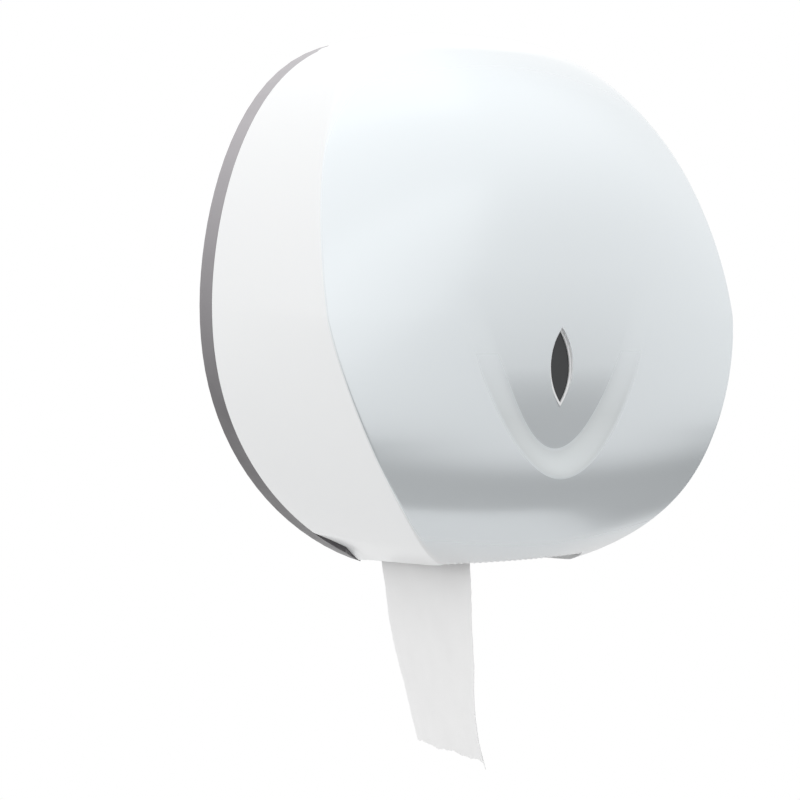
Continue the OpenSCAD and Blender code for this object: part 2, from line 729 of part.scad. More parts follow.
module lock_housing() {
    color(steel) at_lock() difference() {
        union() {
            disc(lock_flange_r, lock_seat - lock_flange_t, lock_seat);
            disc(lock_sleeve_r, lock_seat - lock_flange_t / 2, sleeve_end);
        }
        disc(barrel_r + hub_clear, -over, sleeve_end + over);
        disc(barrel_head_r + hub_clear, -over, lock_seat - lock_flange_t + head_h + 0.1);
    }
}
module lock_washer() {
    color(steel) at_lock() difference() {
        disc(lock_flange_r, boss_in, boss_in + lock_washer_t);
        disc(lock_sleeve_r + loose, boss_in - over, boss_in + lock_washer_t + over);
    }
}
module lock_nut() {
    color(brass) at_lock() difference() {
        disc(lock_flange_r + 0.6, boss_in + lock_washer_t, boss_in + lock_washer_t + lock_nut_t, 6);
        disc(lock_sleeve_r + snug, boss_in, boss_in + lock_washer_t + lock_nut_t + over);
    }
}
module lock_barrel() {
    color(brass) at_lock() difference() {
        union() {
            disc(barrel_head_r, 0, head_h);
            disc(barrel_r, head_h - 0.5, cam_top);
            translate([-tang / 2, -tang / 2, -cam_low]) cube([tang, tang, cam_t + 0.5]);
        }
        translate([-1, -3.4, -9]) cube([2, 6.8, 10]);
        disc(1.5, cam_low - 8, cam_low + over);
    }
}
module lock_cam() {
    color(steel) at_lock() difference() {
        translate([0, 0, -cam_low]) linear_extrude(cam_t) {
            circle(r = cam_w / 2 + 1.5, $fn = round_fn);
            translate([-cam_w / 2, 0]) square([cam_w, cam_l]);
        }
        translate([-tang / 2 - snug, -tang / 2 - snug, -cam_low - over])
            cube([tang + 2 * snug, tang + 2 * snug, cam_t + 2 * over]);
    }
}
module cam_screw() {
    color(steel) at_lock() difference() {
        union() {
            disc(4.6, cam_low, cam_low + 2);
            disc(1.5 - snug, cam_low - 7, cam_low + 0.5);
        }
        translate([0, 0, -cam_low - 2]) for (turn = [0, 90]) rotate([0, 0, turn])
            cube([5.6, 1.2, 2], center = true);
    }
}

// Keeper: a bent strip that stands off the plate, with a lip in front of the turned cam
keeper_in = 15; // outer edge of the strip, under the wall's face
keeper_h = 9;
lip_y = cam_w / 2 + 0.5;
keeper_lip = 5.5;
keeper_x = norm([cam_l, cam_w / 2]) + 0.5; // inner face of the web
foot_l = 13;
keeper_reach = lock_y - plate_t; // from the plate to the lock's axis
keeper_hole = [-keeper_x - keeper_t - foot_l * 0.62, -keeper_in - keeper_h / 2];
function from_lock(p) = [lock_at[0] + p[0] * cos(lock_tilt) + p[1] * sin(lock_tilt),
                         lock_at[2] - p[0] * sin(lock_tilt) + p[1] * cos(lock_tilt)];
keeper_screw_at = [from_lock(keeper_hole)];
module lock_keeper() {
    color(steel) at_lock() difference() {
        translate([0, 0, -keeper_in - keeper_h]) linear_extrude(keeper_h) polygon([
            [-keeper_x + keeper_lip, -lip_y], [-keeper_x + keeper_lip, -lip_y - keeper_t],
            [-keeper_x - keeper_t, -lip_y - keeper_t],
            [-keeper_x - keeper_t, keeper_reach - keeper_t],
            [-keeper_x - keeper_t - foot_l, keeper_reach - keeper_t],
            [-keeper_x - keeper_t - foot_l, keeper_reach],
            [-keeper_x, keeper_reach], [-keeper_x, -lip_y]
        ]);
        translate([keeper_hole[0], keeper_reach + over, keeper_hole[1]]) rotate([90, 0, 0])
            cylinder(r = 1.8, h = keeper_t + 2 * over, $fn = round_fn);
    }
}
module keeper_screws() {
    color(steel) for (p = keeper_screw_at) {
        pan_screw(p[0], p[1], plate_t + keeper_t, 3.2, 1.6, 1.3 - snug, keeper_t + 1.4);
    }
}

// ---- Cover ----

tooth_count = floor((slot_left + slot_right) / tooth_pitch);
tooth_from = (slot_right - slot_left - tooth_count * tooth_pitch) / 2;
slot_depth = -edge_y(teeth_z); // depth of the slot's front corners
slot_steps = 8;
// Everything under the saw-toothed upper edge of the slot
module slot_teeth() {
    low = 2 * (widest_z - body_drop);
    polygon(concat(
        [[slot_right, low], [slot_right, teeth_z]],
        [for (i = [tooth_count - 1:-1:0]) each [
            [tooth_from + (i + 1) * tooth_pitch, teeth_z],
            [tooth_from + (i + 0.5) * tooth_pitch, teeth_z + tooth_h]
        ]],
        [[tooth_from, teeth_z], [-slot_left, teeth_z], [-slot_left, low]]
    ));
}
// Outline of the slot seen from below: it narrows towards the wall
function slot_side(wide, k) = [mix(slot_back, wide, pow(k, 2.3)), mix(over, -slot_depth, k)];
module slot_plan() {
    polygon(concat(
        [for (i = [0:slot_steps]) let(q = slot_side(slot_left, i / slot_steps)) [-q[0], q[1]]],
        [[-slot_left, -2 * edge_depth], [slot_right, -2 * edge_depth]],
        [for (i = [slot_steps:-1:0]) slot_side(slot_right, i / slot_steps)]
    ));
}
module slot_space() {
    intersection() {
        upright(-2 * over, edge_depth + crown + 10) slot_teeth();
        translate([0, 0, 2 * (widest_z - body_drop)]) linear_extrude(2 * body_drop) slot_plan();
    }
}

slot_relief_y = roll_front + 1; // the edge of the slot is thinned behind this depth

module cover_knuckle(x0) {
    translate([x0, -hinge_y, hinge_z]) rotate([0, 90, 0]) cylinder(r = knuckle_r, h = knuckle_l, $fn = round_fn);
    translate([x0, -hinge_y - knuckle_r, hinge_z])
        cube([knuckle_l, 2 * knuckle_r, top_z(x0 + knuckle_l / 2) - cover_wall * 0.88 - hinge_z]);
}
// Height of the body's top over x
function top_z(x) = widest_z + body_rise * pow(1 - pow(2 * abs(x) / body_w, rise_flat), 1 / rise_power);

module front_cover() {
    color(white) difference() {
        union() {
            difference() {
                shell_solid(outer_grid, 0);
                shell_solid(inner_grid, cover_wall);
            }
            both_sides() {
                cover_knuckle(cover_knuckle_in - knuckle_l);
                cover_knuckle(cover_knuckle_out);
            }
            at_lock() disc(lock_flange_r + 1.5, 0.6, boss_in);
            lens_seat_boss();
        }
        // back edge: against the rim at the sides, close to the wall at the top and the bottom
        rim_space(cover_gap);
        translate([-body_w, -top_gap, 0]) cube([2 * body_w, 2 * top_gap, 2 * body_rise]);
        translate([-body_w, -bottom_gap, -2 * body_drop]) cube([2 * body_w, 2 * bottom_gap + 4, 2 * body_drop]);
        slot_space();
        translate([-slot_right, -slot_relief_y, teeth_z - over])
            cube([2 * slot_right, slot_relief_y - rim_depth, over + 4]);
        upright(lens_seat - 2, edge_depth + crown + 10) window_shape(0);
        for (z = lens_pins) post(0, z, lens_screw_r, lens_seat - 2, lens_seat + 2.4);
        at_lock() {
            disc(lock_flange_r + 0.4, -10, lock_seat);
            disc(lock_sleeve_r + loose, -over, boss_in + over);
            disc(lock_flange_r + 3, boss_in, boss_in + 6);
        }
        both_sides() translate([cover_knuckle_in - 2 * knuckle_l, -hinge_y, hinge_z]) rotate([0, 90, 0])
            cylinder(r = pin_r + snug, h = 5 * knuckle_l, $fn = round_fn);
    }
}

back_plate();
spindle();
spindle_screws();
hub_washer();
hub_screw();
hub_cap();
lock_keeper();
keeper_screws();
paper_tail();
roll_hub();
core_tube();
paper_roll();
front_cover();
window_lens();
window_rim();
lens_screws();
hinge_pin_left();
hinge_pin_right();
lock_housing();
lock_washer();
lock_nut();
lock_barrel();
lock_cam();
cam_screw();
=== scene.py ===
"""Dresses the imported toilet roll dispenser: shapes, finishes, light and camera."""

import logging
import math
from dataclasses import dataclass
from enum import Enum

import bpy
import numpy as np
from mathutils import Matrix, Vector


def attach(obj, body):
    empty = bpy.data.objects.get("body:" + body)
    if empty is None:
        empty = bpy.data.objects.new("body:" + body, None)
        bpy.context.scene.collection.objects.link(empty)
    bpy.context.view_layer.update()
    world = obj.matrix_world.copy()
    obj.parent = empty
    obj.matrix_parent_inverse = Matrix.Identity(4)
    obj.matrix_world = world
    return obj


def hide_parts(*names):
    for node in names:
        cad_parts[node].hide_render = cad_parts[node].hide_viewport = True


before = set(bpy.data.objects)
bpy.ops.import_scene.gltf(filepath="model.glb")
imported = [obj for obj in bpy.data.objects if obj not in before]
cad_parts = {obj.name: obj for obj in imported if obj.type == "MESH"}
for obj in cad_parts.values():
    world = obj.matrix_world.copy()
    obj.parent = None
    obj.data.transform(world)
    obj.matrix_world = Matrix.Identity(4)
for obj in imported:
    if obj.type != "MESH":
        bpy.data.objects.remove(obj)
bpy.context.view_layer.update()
MM = 0.001
PAST = 250  # farther out than any part of the body, in millimetres
ROD_SIDES = 64
WHITE = (1, 1, 1)
log = logging.getLogger("dispenser")

Pair = tuple[float, float]
Triple = tuple[float, float, float]
Colour = Triple
Piece = bpy.types.Object
Socket = bpy.types.NodeSocket


class Body(Enum):
    """Rigid bodies that new pieces ride on."""

    BASE = "base"
    COVER = "cover"
    ROLL = "roll"


class Slot(Enum):
    """Material slots of the record; no new piece here takes its finish from them."""

    COVER = "cover_white"
    PAPER = "paper"


# ---------- Finishes ----------


def ease(v: np.ndarray) -> np.ndarray:
    """Runs smoothly from 0 to 1."""
    c = np.clip(v, 0, 1)
    return c * c * (3 - 2 * c)


def shade(colour: Colour, share: float) -> Colour:
    """Gives a colour at a share of its brightness."""
    return tuple(c * share for c in colour)


class Graph:
    """The node tree of a material or world, and short calls that add nodes to it."""

    def __init__(self, owner: bpy.types.Material | bpy.types.World, shader: str = "Principled BSDF") -> None:
        """Opens the tree of a new material or world.

        Args:
            owner: The material or world.
            shader: Name of the shader node that it starts with.
        """
        owner.use_nodes = True
        self.owner = owner
        self.tree = owner.node_tree
        self.shader = self.tree.nodes[shader]

    def node(self, kind: str, **settings: object) -> bpy.types.Node:
        """Adds a node.

        Args:
            kind: Blender's name of the node type.
            **settings: Properties of the node, or values of its input sockets.

        Returns:
            The new node.
        """
        made = self.tree.nodes.new(kind)
        for key, value in settings.items():
            if hasattr(made, key):
                setattr(made, key, value)
            else:
                made.inputs[key.replace("_", " ")].default_value = value
        return made

    def link(self, source: Socket, target: Socket) -> None:
        """Joins two sockets."""
        self.tree.links.new(source, target)

    def feed(self, target: Socket, value: object) -> None:
        """Links a socket to an input, or sets a constant on it.

        Args:
            target: The input.
            value: A socket to link, or a constant.
        """
        if isinstance(value, Socket):
            self.link(value, target)
        else:
            target.default_value = value

    def set(self, **values: object) -> None:
        """Feeds the shader's own inputs."""
        for key, value in values.items():
            self.feed(self.shader.inputs[key.replace("_", " ")], value)

    def place(self, scale: Triple = (1, 1, 1)) -> Socket:
        """Gives object coordinates, stretched.

        Args:
            scale: Stretch along each axis.

        Returns:
            The socket of the coordinates.
        """
        where = self.node("ShaderNodeTexCoord")
        stretch = self.node("ShaderNodeMapping", Scale=scale)
        self.link(where.outputs["Object"], stretch.inputs["Vector"])
        return stretch.outputs["Vector"]

    def split(self, vector: Socket) -> tuple[Socket, ...]:
        """Gives the three numbers of a vector.

        Args:
            vector: The vector's socket.

        Returns:
            The sockets of its x, y and z.
        """
        made = self.node("ShaderNodeSeparateXYZ")
        self.link(vector, made.inputs[0])
        return tuple(made.outputs)

    def noise(self, at: Socket, scale: float, detail: float) -> Socket:
        """Adds a noise texture.

        Args:
            at: Coordinates.
            scale: Cells per metre.
            detail: Octaves.

        Returns:
            The socket of its grey value.
        """
        made = self.node("ShaderNodeTexNoise", Scale=scale, Detail=detail)
        self.link(at, made.inputs["Vector"])
        return made.outputs["Fac"]

    def ramp(self, value: Socket, low: float, high: float, out: Pair = (0, 1)) -> Socket:
        """Maps a range of a value onto another.

        Args:
            value: The value.
            low: Start of its range.
            high: End of its range.
            out: The two ends that come out.

        Returns:
            The socket of the result.
        """
        made = self.node("ShaderNodeMapRange", From_Min=low, From_Max=high, To_Min=out[0], To_Max=out[1])
        self.link(value, made.inputs["Value"])
        return made.outputs["Result"]

    def math(self, operation: str, *values: Socket | float) -> Socket:
        """Adds a math node.

        Args:
            operation: Blender's name of the operation.
            *values: Its inputs, sockets or numbers.

        Returns:
            The socket of the result.
        """
        made = self.node("ShaderNodeMath", operation=operation)
        for target, value in zip(made.inputs, values):
            self.feed(target, value)
        return made.outputs[0]

    def mix(self, share: Socket, one: Colour | Socket, two: Colour) -> Socket:
        """Mixes two colours.

        Args:
            share: Share of the second colour.
            one: First colour.
            two: Second colour.

        Returns:
            The socket of the mixed colour.
        """
        made = self.node("ShaderNodeMix", data_type="RGBA")
        self.feed(made.inputs[0], share)
        self.feed(made.inputs[6], one if isinstance(one, Socket) else (*one, 1))
        self.feed(made.inputs[7], (*two, 1))
        return made.outputs[2]

    def bump(self, *heights: tuple[Socket, float, float]) -> None:
        """Chains bump nodes into the shader's normal.

        Args:
            *heights: For each bump its height value, strength and depth in metres.
        """
        last = None
        for value, strength, depth in heights:
            made = self.node("ShaderNodeBump", Strength=strength, Distance=depth)
            self.link(value, made.inputs["Height"])
            if last is not None:
                self.link(last, made.inputs["Normal"])
            last = made.outputs["Normal"]
        self.set(Normal=last)


@dataclass(frozen=True)
class Finish:
    """A finish: a named material and the nodes that make its look."""

    name: str

    def paint(self, g: Graph) -> None:
        """Adds the nodes.

        Args:
            g: The new material's graph.
        """
        raise NotImplementedError

    def material(self) -> bpy.types.Material:
        """Builds the material and returns it.

        Returns:
            The new material.
        """
        g = Graph(bpy.data.materials.new(self.name))
        self.paint(g)
        return g.owner


@dataclass(frozen=True)
class MouldedPlastic(Finish):
    """Injection-moulded plastic with a slight mottle and a fine skin."""

    colour: Colour
    roughness: float
    coat: float = 0.0

    def paint(self, g: Graph) -> None:
        """Adds the nodes.

        Args:
            g: The new material's graph.
        """
        at = g.place()
        mottle = g.ramp(g.noise(at, 14.0, 3.0), 0.35, 0.65)
        rough = self.roughness * 0.9, self.roughness * 1.12
        g.set(
            Base_Color=g.mix(mottle, self.colour, shade(self.colour, 0.965)),
            Roughness=g.ramp(g.noise(at, 90.0, 5.0), 0.3, 0.7, rough),
            Coat_Weight=self.coat,
            Coat_Roughness=0.06,
            IOR=1.5,
        )
        g.bump((g.noise(at, 2600.0, 1.0), 0.5, 0.00002), (g.noise(at, 30.0, 1.0), 0.3, 0.00015))


@dataclass(frozen=True)
class GreyWithPaintedTopLight(Finish):
    """Grey moulding of the base with painted light and shade: paler towards its top and darker below, as
    light from above falls on it.
    """

    name: str = "base_moulding"
    # pale and dark are painted light and shade: the grey runs from pale at the top to dark at the bottom,
    # where less light falls.
    pale: Colour = (0.415, 0.395, 0.415)
    dark: Colour = (0.095, 0.089, 0.095)
    painted_light_z: float = 0.085
    painted_shade_z: float = -0.055
    roughness: float = 0.42

    def paint(self, g: Graph) -> None:
        """Adds the nodes.

        Args:
            g: The new material's graph.
        """
        at = g.place()
        _, _, height = g.split(at)
        rough = self.roughness * 0.88, self.roughness * 1.15
        g.set(
            # Painted light and shade: the base colour goes from pale to dark with height.
            Base_Color=g.mix(g.ramp(height, self.painted_light_z, self.painted_shade_z), self.pale, self.dark),
            Roughness=g.ramp(g.noise(at, 60.0, 4.0), 0.3, 0.7, rough),
            Coat_Weight=0.12,
            Coat_Roughness=0.2,
            IOR=1.5,
        )
        g.bump((g.noise(at, 2400.0, 1.0), 0.5, 0.00004), (g.noise(at, 30.0, 1.0), 0.3, 0.00015))


@dataclass(frozen=True)
class Scoop:
    """The V scoop of the front, in millimetres: a band climbs out of a hollow round the window."""

    foot_z: float = -83.5
    spread: float = 44
    band: float = 14.5
    inner_share: float = 1.58
    depth: float = 4.6
    top_z: float = 14
    tuck: float = 2.5
    tuck_z: Pair = (-30, -84)
    fade_z: Pair = (-6, -53.5)

    def cut(self, x: np.ndarray, z: np.ndarray) -> np.ndarray:
        """Gives how deep the scoop is at points of the front.

        Args:
            x: Places across, in millimetres.
            z: Heights.

        Returns:
            Depths in millimetres.
        """
        rise = x * x / self.spread
        rim = self.foot_z + rise
        foot = self.foot_z + self.band + rise * self.inner_share
        fade = np.clip((self.top_z - z) / (self.top_z - self.foot_z), 0, 1)
        start, full = self.tuck_z
        hollow = self.depth * fade**1.5 + self.tuck * ease((z - start) / (full - start))
        return hollow * ease((z - rim) / (foot - rim))

    def mask(self, g: Graph, at: Socket) -> Socket:
        """Gives a share that is 1 on the band and 0 off it.

        Args:
            g: The material's graph.
            at: Object coordinates, in metres.

        Returns:
            The socket of the share.
        """
        x, _, z = g.split(at)
        rise = g.math("DIVIDE", g.math("MULTIPLY", x, x), self.spread * MM)
        over = g.math("SUBTRACT", z, g.math("ADD", rise, self.foot_z * MM))
        tall = g.math("MULTIPLY_ADD", rise, self.inner_share - 1, self.band * MM)
        share = g.math("DIVIDE", over, tall)
        lower = g.ramp(share, -0.02, 0.10)
        upper = g.ramp(share, 0.86, 1.0, (1, 0))
        fade = g.ramp(z, self.fade_z[0] * MM, self.fade_z[1] * MM)
        return g.math("MULTIPLY", g.math("MULTIPLY", lower, upper), g.math("MULTIPLY", fade, fade))


@dataclass(frozen=True)
class CoverFinish(Finish):
    """White moulding: satin sides, a polished, faintly pearly front, and a matt band along the scoop."""

    name: str = "cover_moulding"
    scoop: Scoop = Scoop()
    matt: Colour = (0.655, 0.690, 0.700)
    side: Colour = (0.90, 0.91, 0.915)
    front: Colour = (0.790, 0.833, 0.858)

    def paint(self, g: Graph) -> None:
        """Adds the nodes.

        Args:
            g: The new material's graph.
        """
        at = g.place()
        _, facing, _ = g.split(g.node("ShaderNodeTexCoord").outputs["Normal"])
        front = g.ramp(facing, -0.45, -0.75)
        band = g.math("MULTIPLY", self.scoop.mask(g, at), front)
        polished = g.math("SUBTRACT", front, band)
        g.set(
            Base_Color=g.mix(band, g.mix(front, self.side, self.front), self.matt),
            Roughness=g.ramp(polished, 0, 1, (0.42, 0.25)),
            Metallic=g.ramp(polished, 0, 1, (0.0, 0.38)),
            Coat_Weight=0.35,
            Coat_Roughness=0.12,
            IOR=1.5,
        )
        g.bump((g.noise(at, 2200.0, 1.0), 0.25, 0.000012), (g.noise(at, 22.0, 1.0), 0.2, 0.00012))


@dataclass(frozen=True)
class SmokedAcrylic(Finish):
    """Polished, nearly black tinted plastic of the window."""

    name: str = "smoked_acrylic"
    colour: Colour = (0.022, 0.023, 0.025)

    def paint(self, g: Graph) -> None:
        """Adds the nodes.

        Args:
            g: The new material's graph.
        """
        at = g.place()
        g.set(
            Base_Color=g.mix(g.noise(at, 60.0, 2.0), self.colour, shade(self.colour, 1.35)),
            Roughness=g.ramp(g.noise(at, 400.0, 3.0), 0.3, 0.7, (0.05, 0.09)),
            IOR=1.49,
            Coat_Weight=0.1,
            Coat_Roughness=0.03,
        )
        g.bump((g.noise(at, 45.0, 0.0), 0.2, 0.00006))


@dataclass(frozen=True)
class PlatedMetal(Finish):
    """Plated or bare metal with fine turning or rolling marks."""

    colour: Colour
    roughness: float

    def paint(self, g: Graph) -> None:
        """Adds the nodes.

        Args:
            g: The new material's graph.
        """
        lines = g.noise(g.place((1, 1, 14)), 700.0, 4.0)
        cloud = g.noise(g.place(), 120.0, 3.0)
        g.set(
            Base_Color=g.mix(cloud, self.colour, shade(self.colour, 0.86)),
            Roughness=g.ramp(lines, 0.3, 0.7, (self.roughness * 0.8, self.roughness * 1.3)),
            Metallic=1.0,
        )
        g.bump((lines, 0.25, 0.00002))


@dataclass(frozen=True)
class CrepedTissue(Finish):
    """Soft two-ply tissue with fine creping across its length."""

    name: str = "creped_tissue"
    colour: Colour = (0.90, 0.90, 0.90)

    def paint(self, g: Graph) -> None:
        """Adds the nodes.

        Args:
            g: The new material's graph.
        """
        crepe = g.noise(g.place((1, 0.25, 3)), 620.0, 4.0)
        fibre = g.noise(g.place(), 3200.0, 2.0)
        cloud = g.noise(g.place(), 55.0, 4.0)
        g.set(
            Base_Color=g.mix(g.ramp(cloud, 0.3, 0.7), self.colour, shade(self.colour, 0.975)),
            Roughness=0.92,
            Sheen_Weight=0.15,
            Sheen_Roughness=0.5,
        )
        g.bump((cloud, 0.1, 0.0003), (crepe, 0.3, 0.0001), (fibre, 0.3, 0.00003))


@dataclass(frozen=True)
class WoundEdge(Finish):
    """Paper seen on a roll: ring upon ring at its ends, creped round its outside, in metres."""

    name: str = "wound_paper"
    colour: Colour = (0.89, 0.89, 0.88)
    centre_z: float = -0.008
    wobble: float = 0.0016
    pitch: float = 0.0011

    def paint(self, g: Graph) -> None:
        """Adds the nodes.

        Args:
            g: The new material's graph.
        """
        x, _, z = g.split(g.place())
        flat = g.node("ShaderNodeCombineXYZ")
        g.link(x, flat.inputs["X"])
        g.link(g.math("SUBTRACT", z, self.centre_z), flat.inputs["Z"])
        length = g.node("ShaderNodeVectorMath", operation="LENGTH")
        g.link(flat.outputs[0], length.inputs[0])
        radius = g.math("MULTIPLY_ADD", g.noise(g.place(), 35.0, 2.0), self.wobble, length.outputs["Value"])
        rings = g.math("SINE", g.math("MULTIPLY", radius, 2 * math.pi / self.pitch))
        layers = g.node("ShaderNodeTexNoise", noise_dimensions="1D", Scale=900.0, Detail=3.0)
        g.link(radius, layers.inputs["W"])
        coarse = layers.outputs["Fac"]
        g.set(
            Base_Color=g.mix(g.ramp(coarse, 0.3, 0.7), self.colour, shade(self.colour, 0.90)),
            Roughness=0.93,
            Sheen_Weight=0.12,
        )
        fibre = g.noise(g.place((1, 0.3, 1)), 700.0, 4.0)
        g.bump((rings, 0.35, 0.0002), (coarse, 0.5, 0.0004), (fibre, 0.4, 0.0001))


@dataclass(frozen=True)
class WoundBoard(Finish):
    """Grey-brown board of the core, with its fibres."""

    name: str = "core_board"
    colour: Colour = (0.50, 0.40, 0.28)

    def paint(self, g: Graph) -> None:
        """Adds the nodes.

        Args:
            g: The new material's graph.
        """
        fibre = g.noise(g.place((1, 0.4, 1)), 500.0, 5.0)
        g.set(
            Base_Color=g.mix(fibre, self.colour, shade(self.colour, 0.72)),
            Roughness=g.ramp(g.noise(g.place(), 70.0, 3.0), 0.3, 0.7, (0.8, 0.95)),
        )
        g.bump((fibre, 0.4, 0.0001))


# ---------- Meshes ----------


def mesh_piece(name: str, points: np.ndarray, faces: list[list[int]]) -> Piece:
    """Makes a mesh object from points in millimetres.

    Args:
        name: Name of the piece.
        points: Points, one a row.
        faces: Faces as lists of point numbers.

    Returns:
        The new object.
    """
    mesh = bpy.data.meshes.new(name)
    mesh.from_pydata((points * MM).tolist(), [], faces)
    mesh.validate()
    piece = bpy.data.objects.new(name, mesh)
    bpy.context.scene.collection.objects.link(piece)
    return piece


def placed(piece: Piece, finish: bpy.types.Material, body: Body, node: str) -> Piece:
    """Gives a new piece its finish and puts it on its body, in place of a packed one.

    Args:
        piece: The new piece.
        finish: Its material.
        body: The body it rides on.
        node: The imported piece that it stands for.

    Returns:
        The piece.
    """
    piece.data.materials.clear()
    piece.data.materials.append(finish)
    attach(piece, body.value)
    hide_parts(node)
    return piece


def grid_faces(rows: int, count: int) -> np.ndarray:
    """Gives the faces between rings of points.

    Args:
        rows: Number of rings.
        count: Points a ring.

    Returns:
        Faces of four points each.
    """
    i, j = np.meshgrid(np.arange(rows - 1), np.arange(count), indexing="ij")
    a = i * count + j
    b = i * count + (j + 1) % count
    return np.stack([a, b, b + count, a + count], axis=-1).reshape(-1, 4)


def drum_faces(count: int) -> list[list[int]]:
    """Gives the faces of a drum: those between two rings of points, and its two ends."""
    low = list(range(count))
    return [*grid_faces(2, count).tolist(), low[::-1], [i + count for i in low]]


def cut(piece: Piece, tools: list[Piece], how: str = "DIFFERENCE") -> None:
    """Cuts tools from a piece, or joins them to it, and removes the tools.

    Args:
        piece: The piece.
        tools: Closed meshes.
        how: Kind of boolean.
    """
    for tool in tools:
        step = piece.modifiers.new("cut", "BOOLEAN")
        step.operation = how
        step.object = tool
        step.solver = "MANIFOLD"
    graph = bpy.context.evaluated_depsgraph_get()
    made = bpy.data.meshes.new_from_object(piece.evaluated_get(graph))
    piece.modifiers.clear()
    piece.data = made
    for tool in tools:
        bpy.data.objects.remove(tool)


def smooth(piece: Piece, angle: float) -> None:
    """Shades a piece smooth up to an angle in degrees."""
    piece.data.shade_smooth()
    piece.data.set_sharp_from_angle(angle=math.radians(angle))


def prism(name: str, outline: np.ndarray, y0: float, y1: float) -> Piece:
    """Makes a closed prism along y from an outline in x and z.

    Args:
        name: Name of the piece.
        outline: Corners as x and z, in millimetres.
        y0: One end.
        y1: The other end.

    Returns:
        The new object.
    """
    points = np.array([[x, y, z] for y in (y0, y1) for x, z in outline])
    faces = drum_faces(len(outline))
    after = np.roll(outline, -1, axis=0)
    area = (outline[:, 0] * after[:, 1] - after[:, 0] * outline[:, 1]).sum()
    if (area > 0) == (y1 > y0):
        faces = [f[::-1] for f in faces]
    return mesh_piece(name, points, faces)


def floor_prism(name: str, outline: np.ndarray, z0: float, z1: float) -> Piece:
    """Makes a closed prism along z from an outline in x and y.

    Args:
        name: Name of the piece.
        outline: Corners as x and y, in millimetres.
        z0: One end.
        z1: The other end.

    Returns:
        The new object.
    """
    piece = prism(name, outline, z0, z1)
    for v in piece.data.vertices:
        v.co = Vector((v.co.x, v.co.z, v.co.y))
    piece.data.flip_normals()
    return piece


def block(name: str, low: Triple, high: Triple) -> Piece:
    """Makes a box between two corners, in millimetres."""
    outline = np.array([(low[0], low[2]), (high[0], low[2]), (high[0], high[2]), (low[0], high[2])])
    return prism(name, outline, low[1], high[1])


def rod(name: str, start: Vector, end: Vector, radius: float) -> Piece:
    """Makes a closed round rod between two points, in millimetres.

    Args:
        name: Name of the piece.
        start: One end.
        end: The other end.
        radius: Its radius.

    Returns:
        The new object.
    """
    along = (end - start).normalized()
    across = along.orthogonal().normalized()
    third = along.cross(across)
    angles = [2 * math.pi * i / ROD_SIDES for i in range(ROD_SIDES)]
    ring = [across * math.cos(a) * radius + third * math.sin(a) * radius for a in angles]
    points = np.array([list(at + r) for at in (start, end) for r in ring])
    return mesh_piece(name, points, drum_faces(ROD_SIDES))


# ---------- Cover ----------


@dataclass(frozen=True)
class Outline:
    """Drop-shaped outline in x and z: half width, widest height, and each half's size and two powers."""

    half: float
    widest: float
    rise: float
    fall: float
    rise_power: float
    fall_power: float
    rise_flat: float
    fall_flat: float

    def points(self, a: np.ndarray) -> np.ndarray:
        """Gives the points in the directions a, in radians.

        Args:
            a: Directions, in radians.

        Returns:
            Points as x and z.
        """
        c, s, up = np.abs(np.cos(a)), np.abs(np.sin(a)), np.sin(a) >= 0
        tall = np.where(up, self.rise, self.fall)
        bend = np.where(up, self.rise_power, self.fall_power)
        flat = np.where(up, self.rise_flat, self.fall_flat)
        r = 1 / np.maximum(c / self.half, s / tall)
        for _ in range(6):
            u, v = (r * c / self.half) ** flat, (r * s / tall) ** bend
            r = r * (1 - (u + v - 1) / (flat * u + bend * v))
        return np.stack([r * np.cos(a), self.widest + r * np.sin(a)], axis=-1)

    def normals(self, a: np.ndarray) -> np.ndarray:
        """Gives the outward normals at angles a, in radians.

        Args:
            a: Directions, in radians.

        Returns:
            Unit vectors as x and z.
        """
        d = self.points(a + math.radians(1.5)) - self.points(a - math.radians(1.5))
        n = np.stack([d[..., 1], -d[..., 0]], axis=-1)
        return n / np.linalg.norm(n, axis=-1, keepdims=True)

    def inset(self, a: np.ndarray, inset: np.ndarray | float) -> np.ndarray:
        """Gives the points in the directions a, moved in by inset."""
        return self.points(a) - self.normals(a) * np.broadcast_to(inset, a.shape)[..., None]

    def width(self, z: np.ndarray) -> np.ndarray:
        """Gives the half width at heights z.

        Args:
            z: Heights.

        Returns:
            Half widths.
        """
        t = z - self.widest
        share = np.where(t >= 0, np.abs(t / self.rise), np.abs(t / self.fall)).clip(max=1)
        left = 1 - share ** np.where(t >= 0, self.rise_power, self.fall_power)
        return self.half * np.maximum(left, 0) ** (1 / np.where(t >= 0, self.rise_flat, self.fall_flat))


@dataclass(frozen=True)
class Grid:
    """Fineness of the cover's skin: points a ring, and rings of its side, its soft edge and its front."""

    count: int
    sides: int
    edges: int
    fronts: int


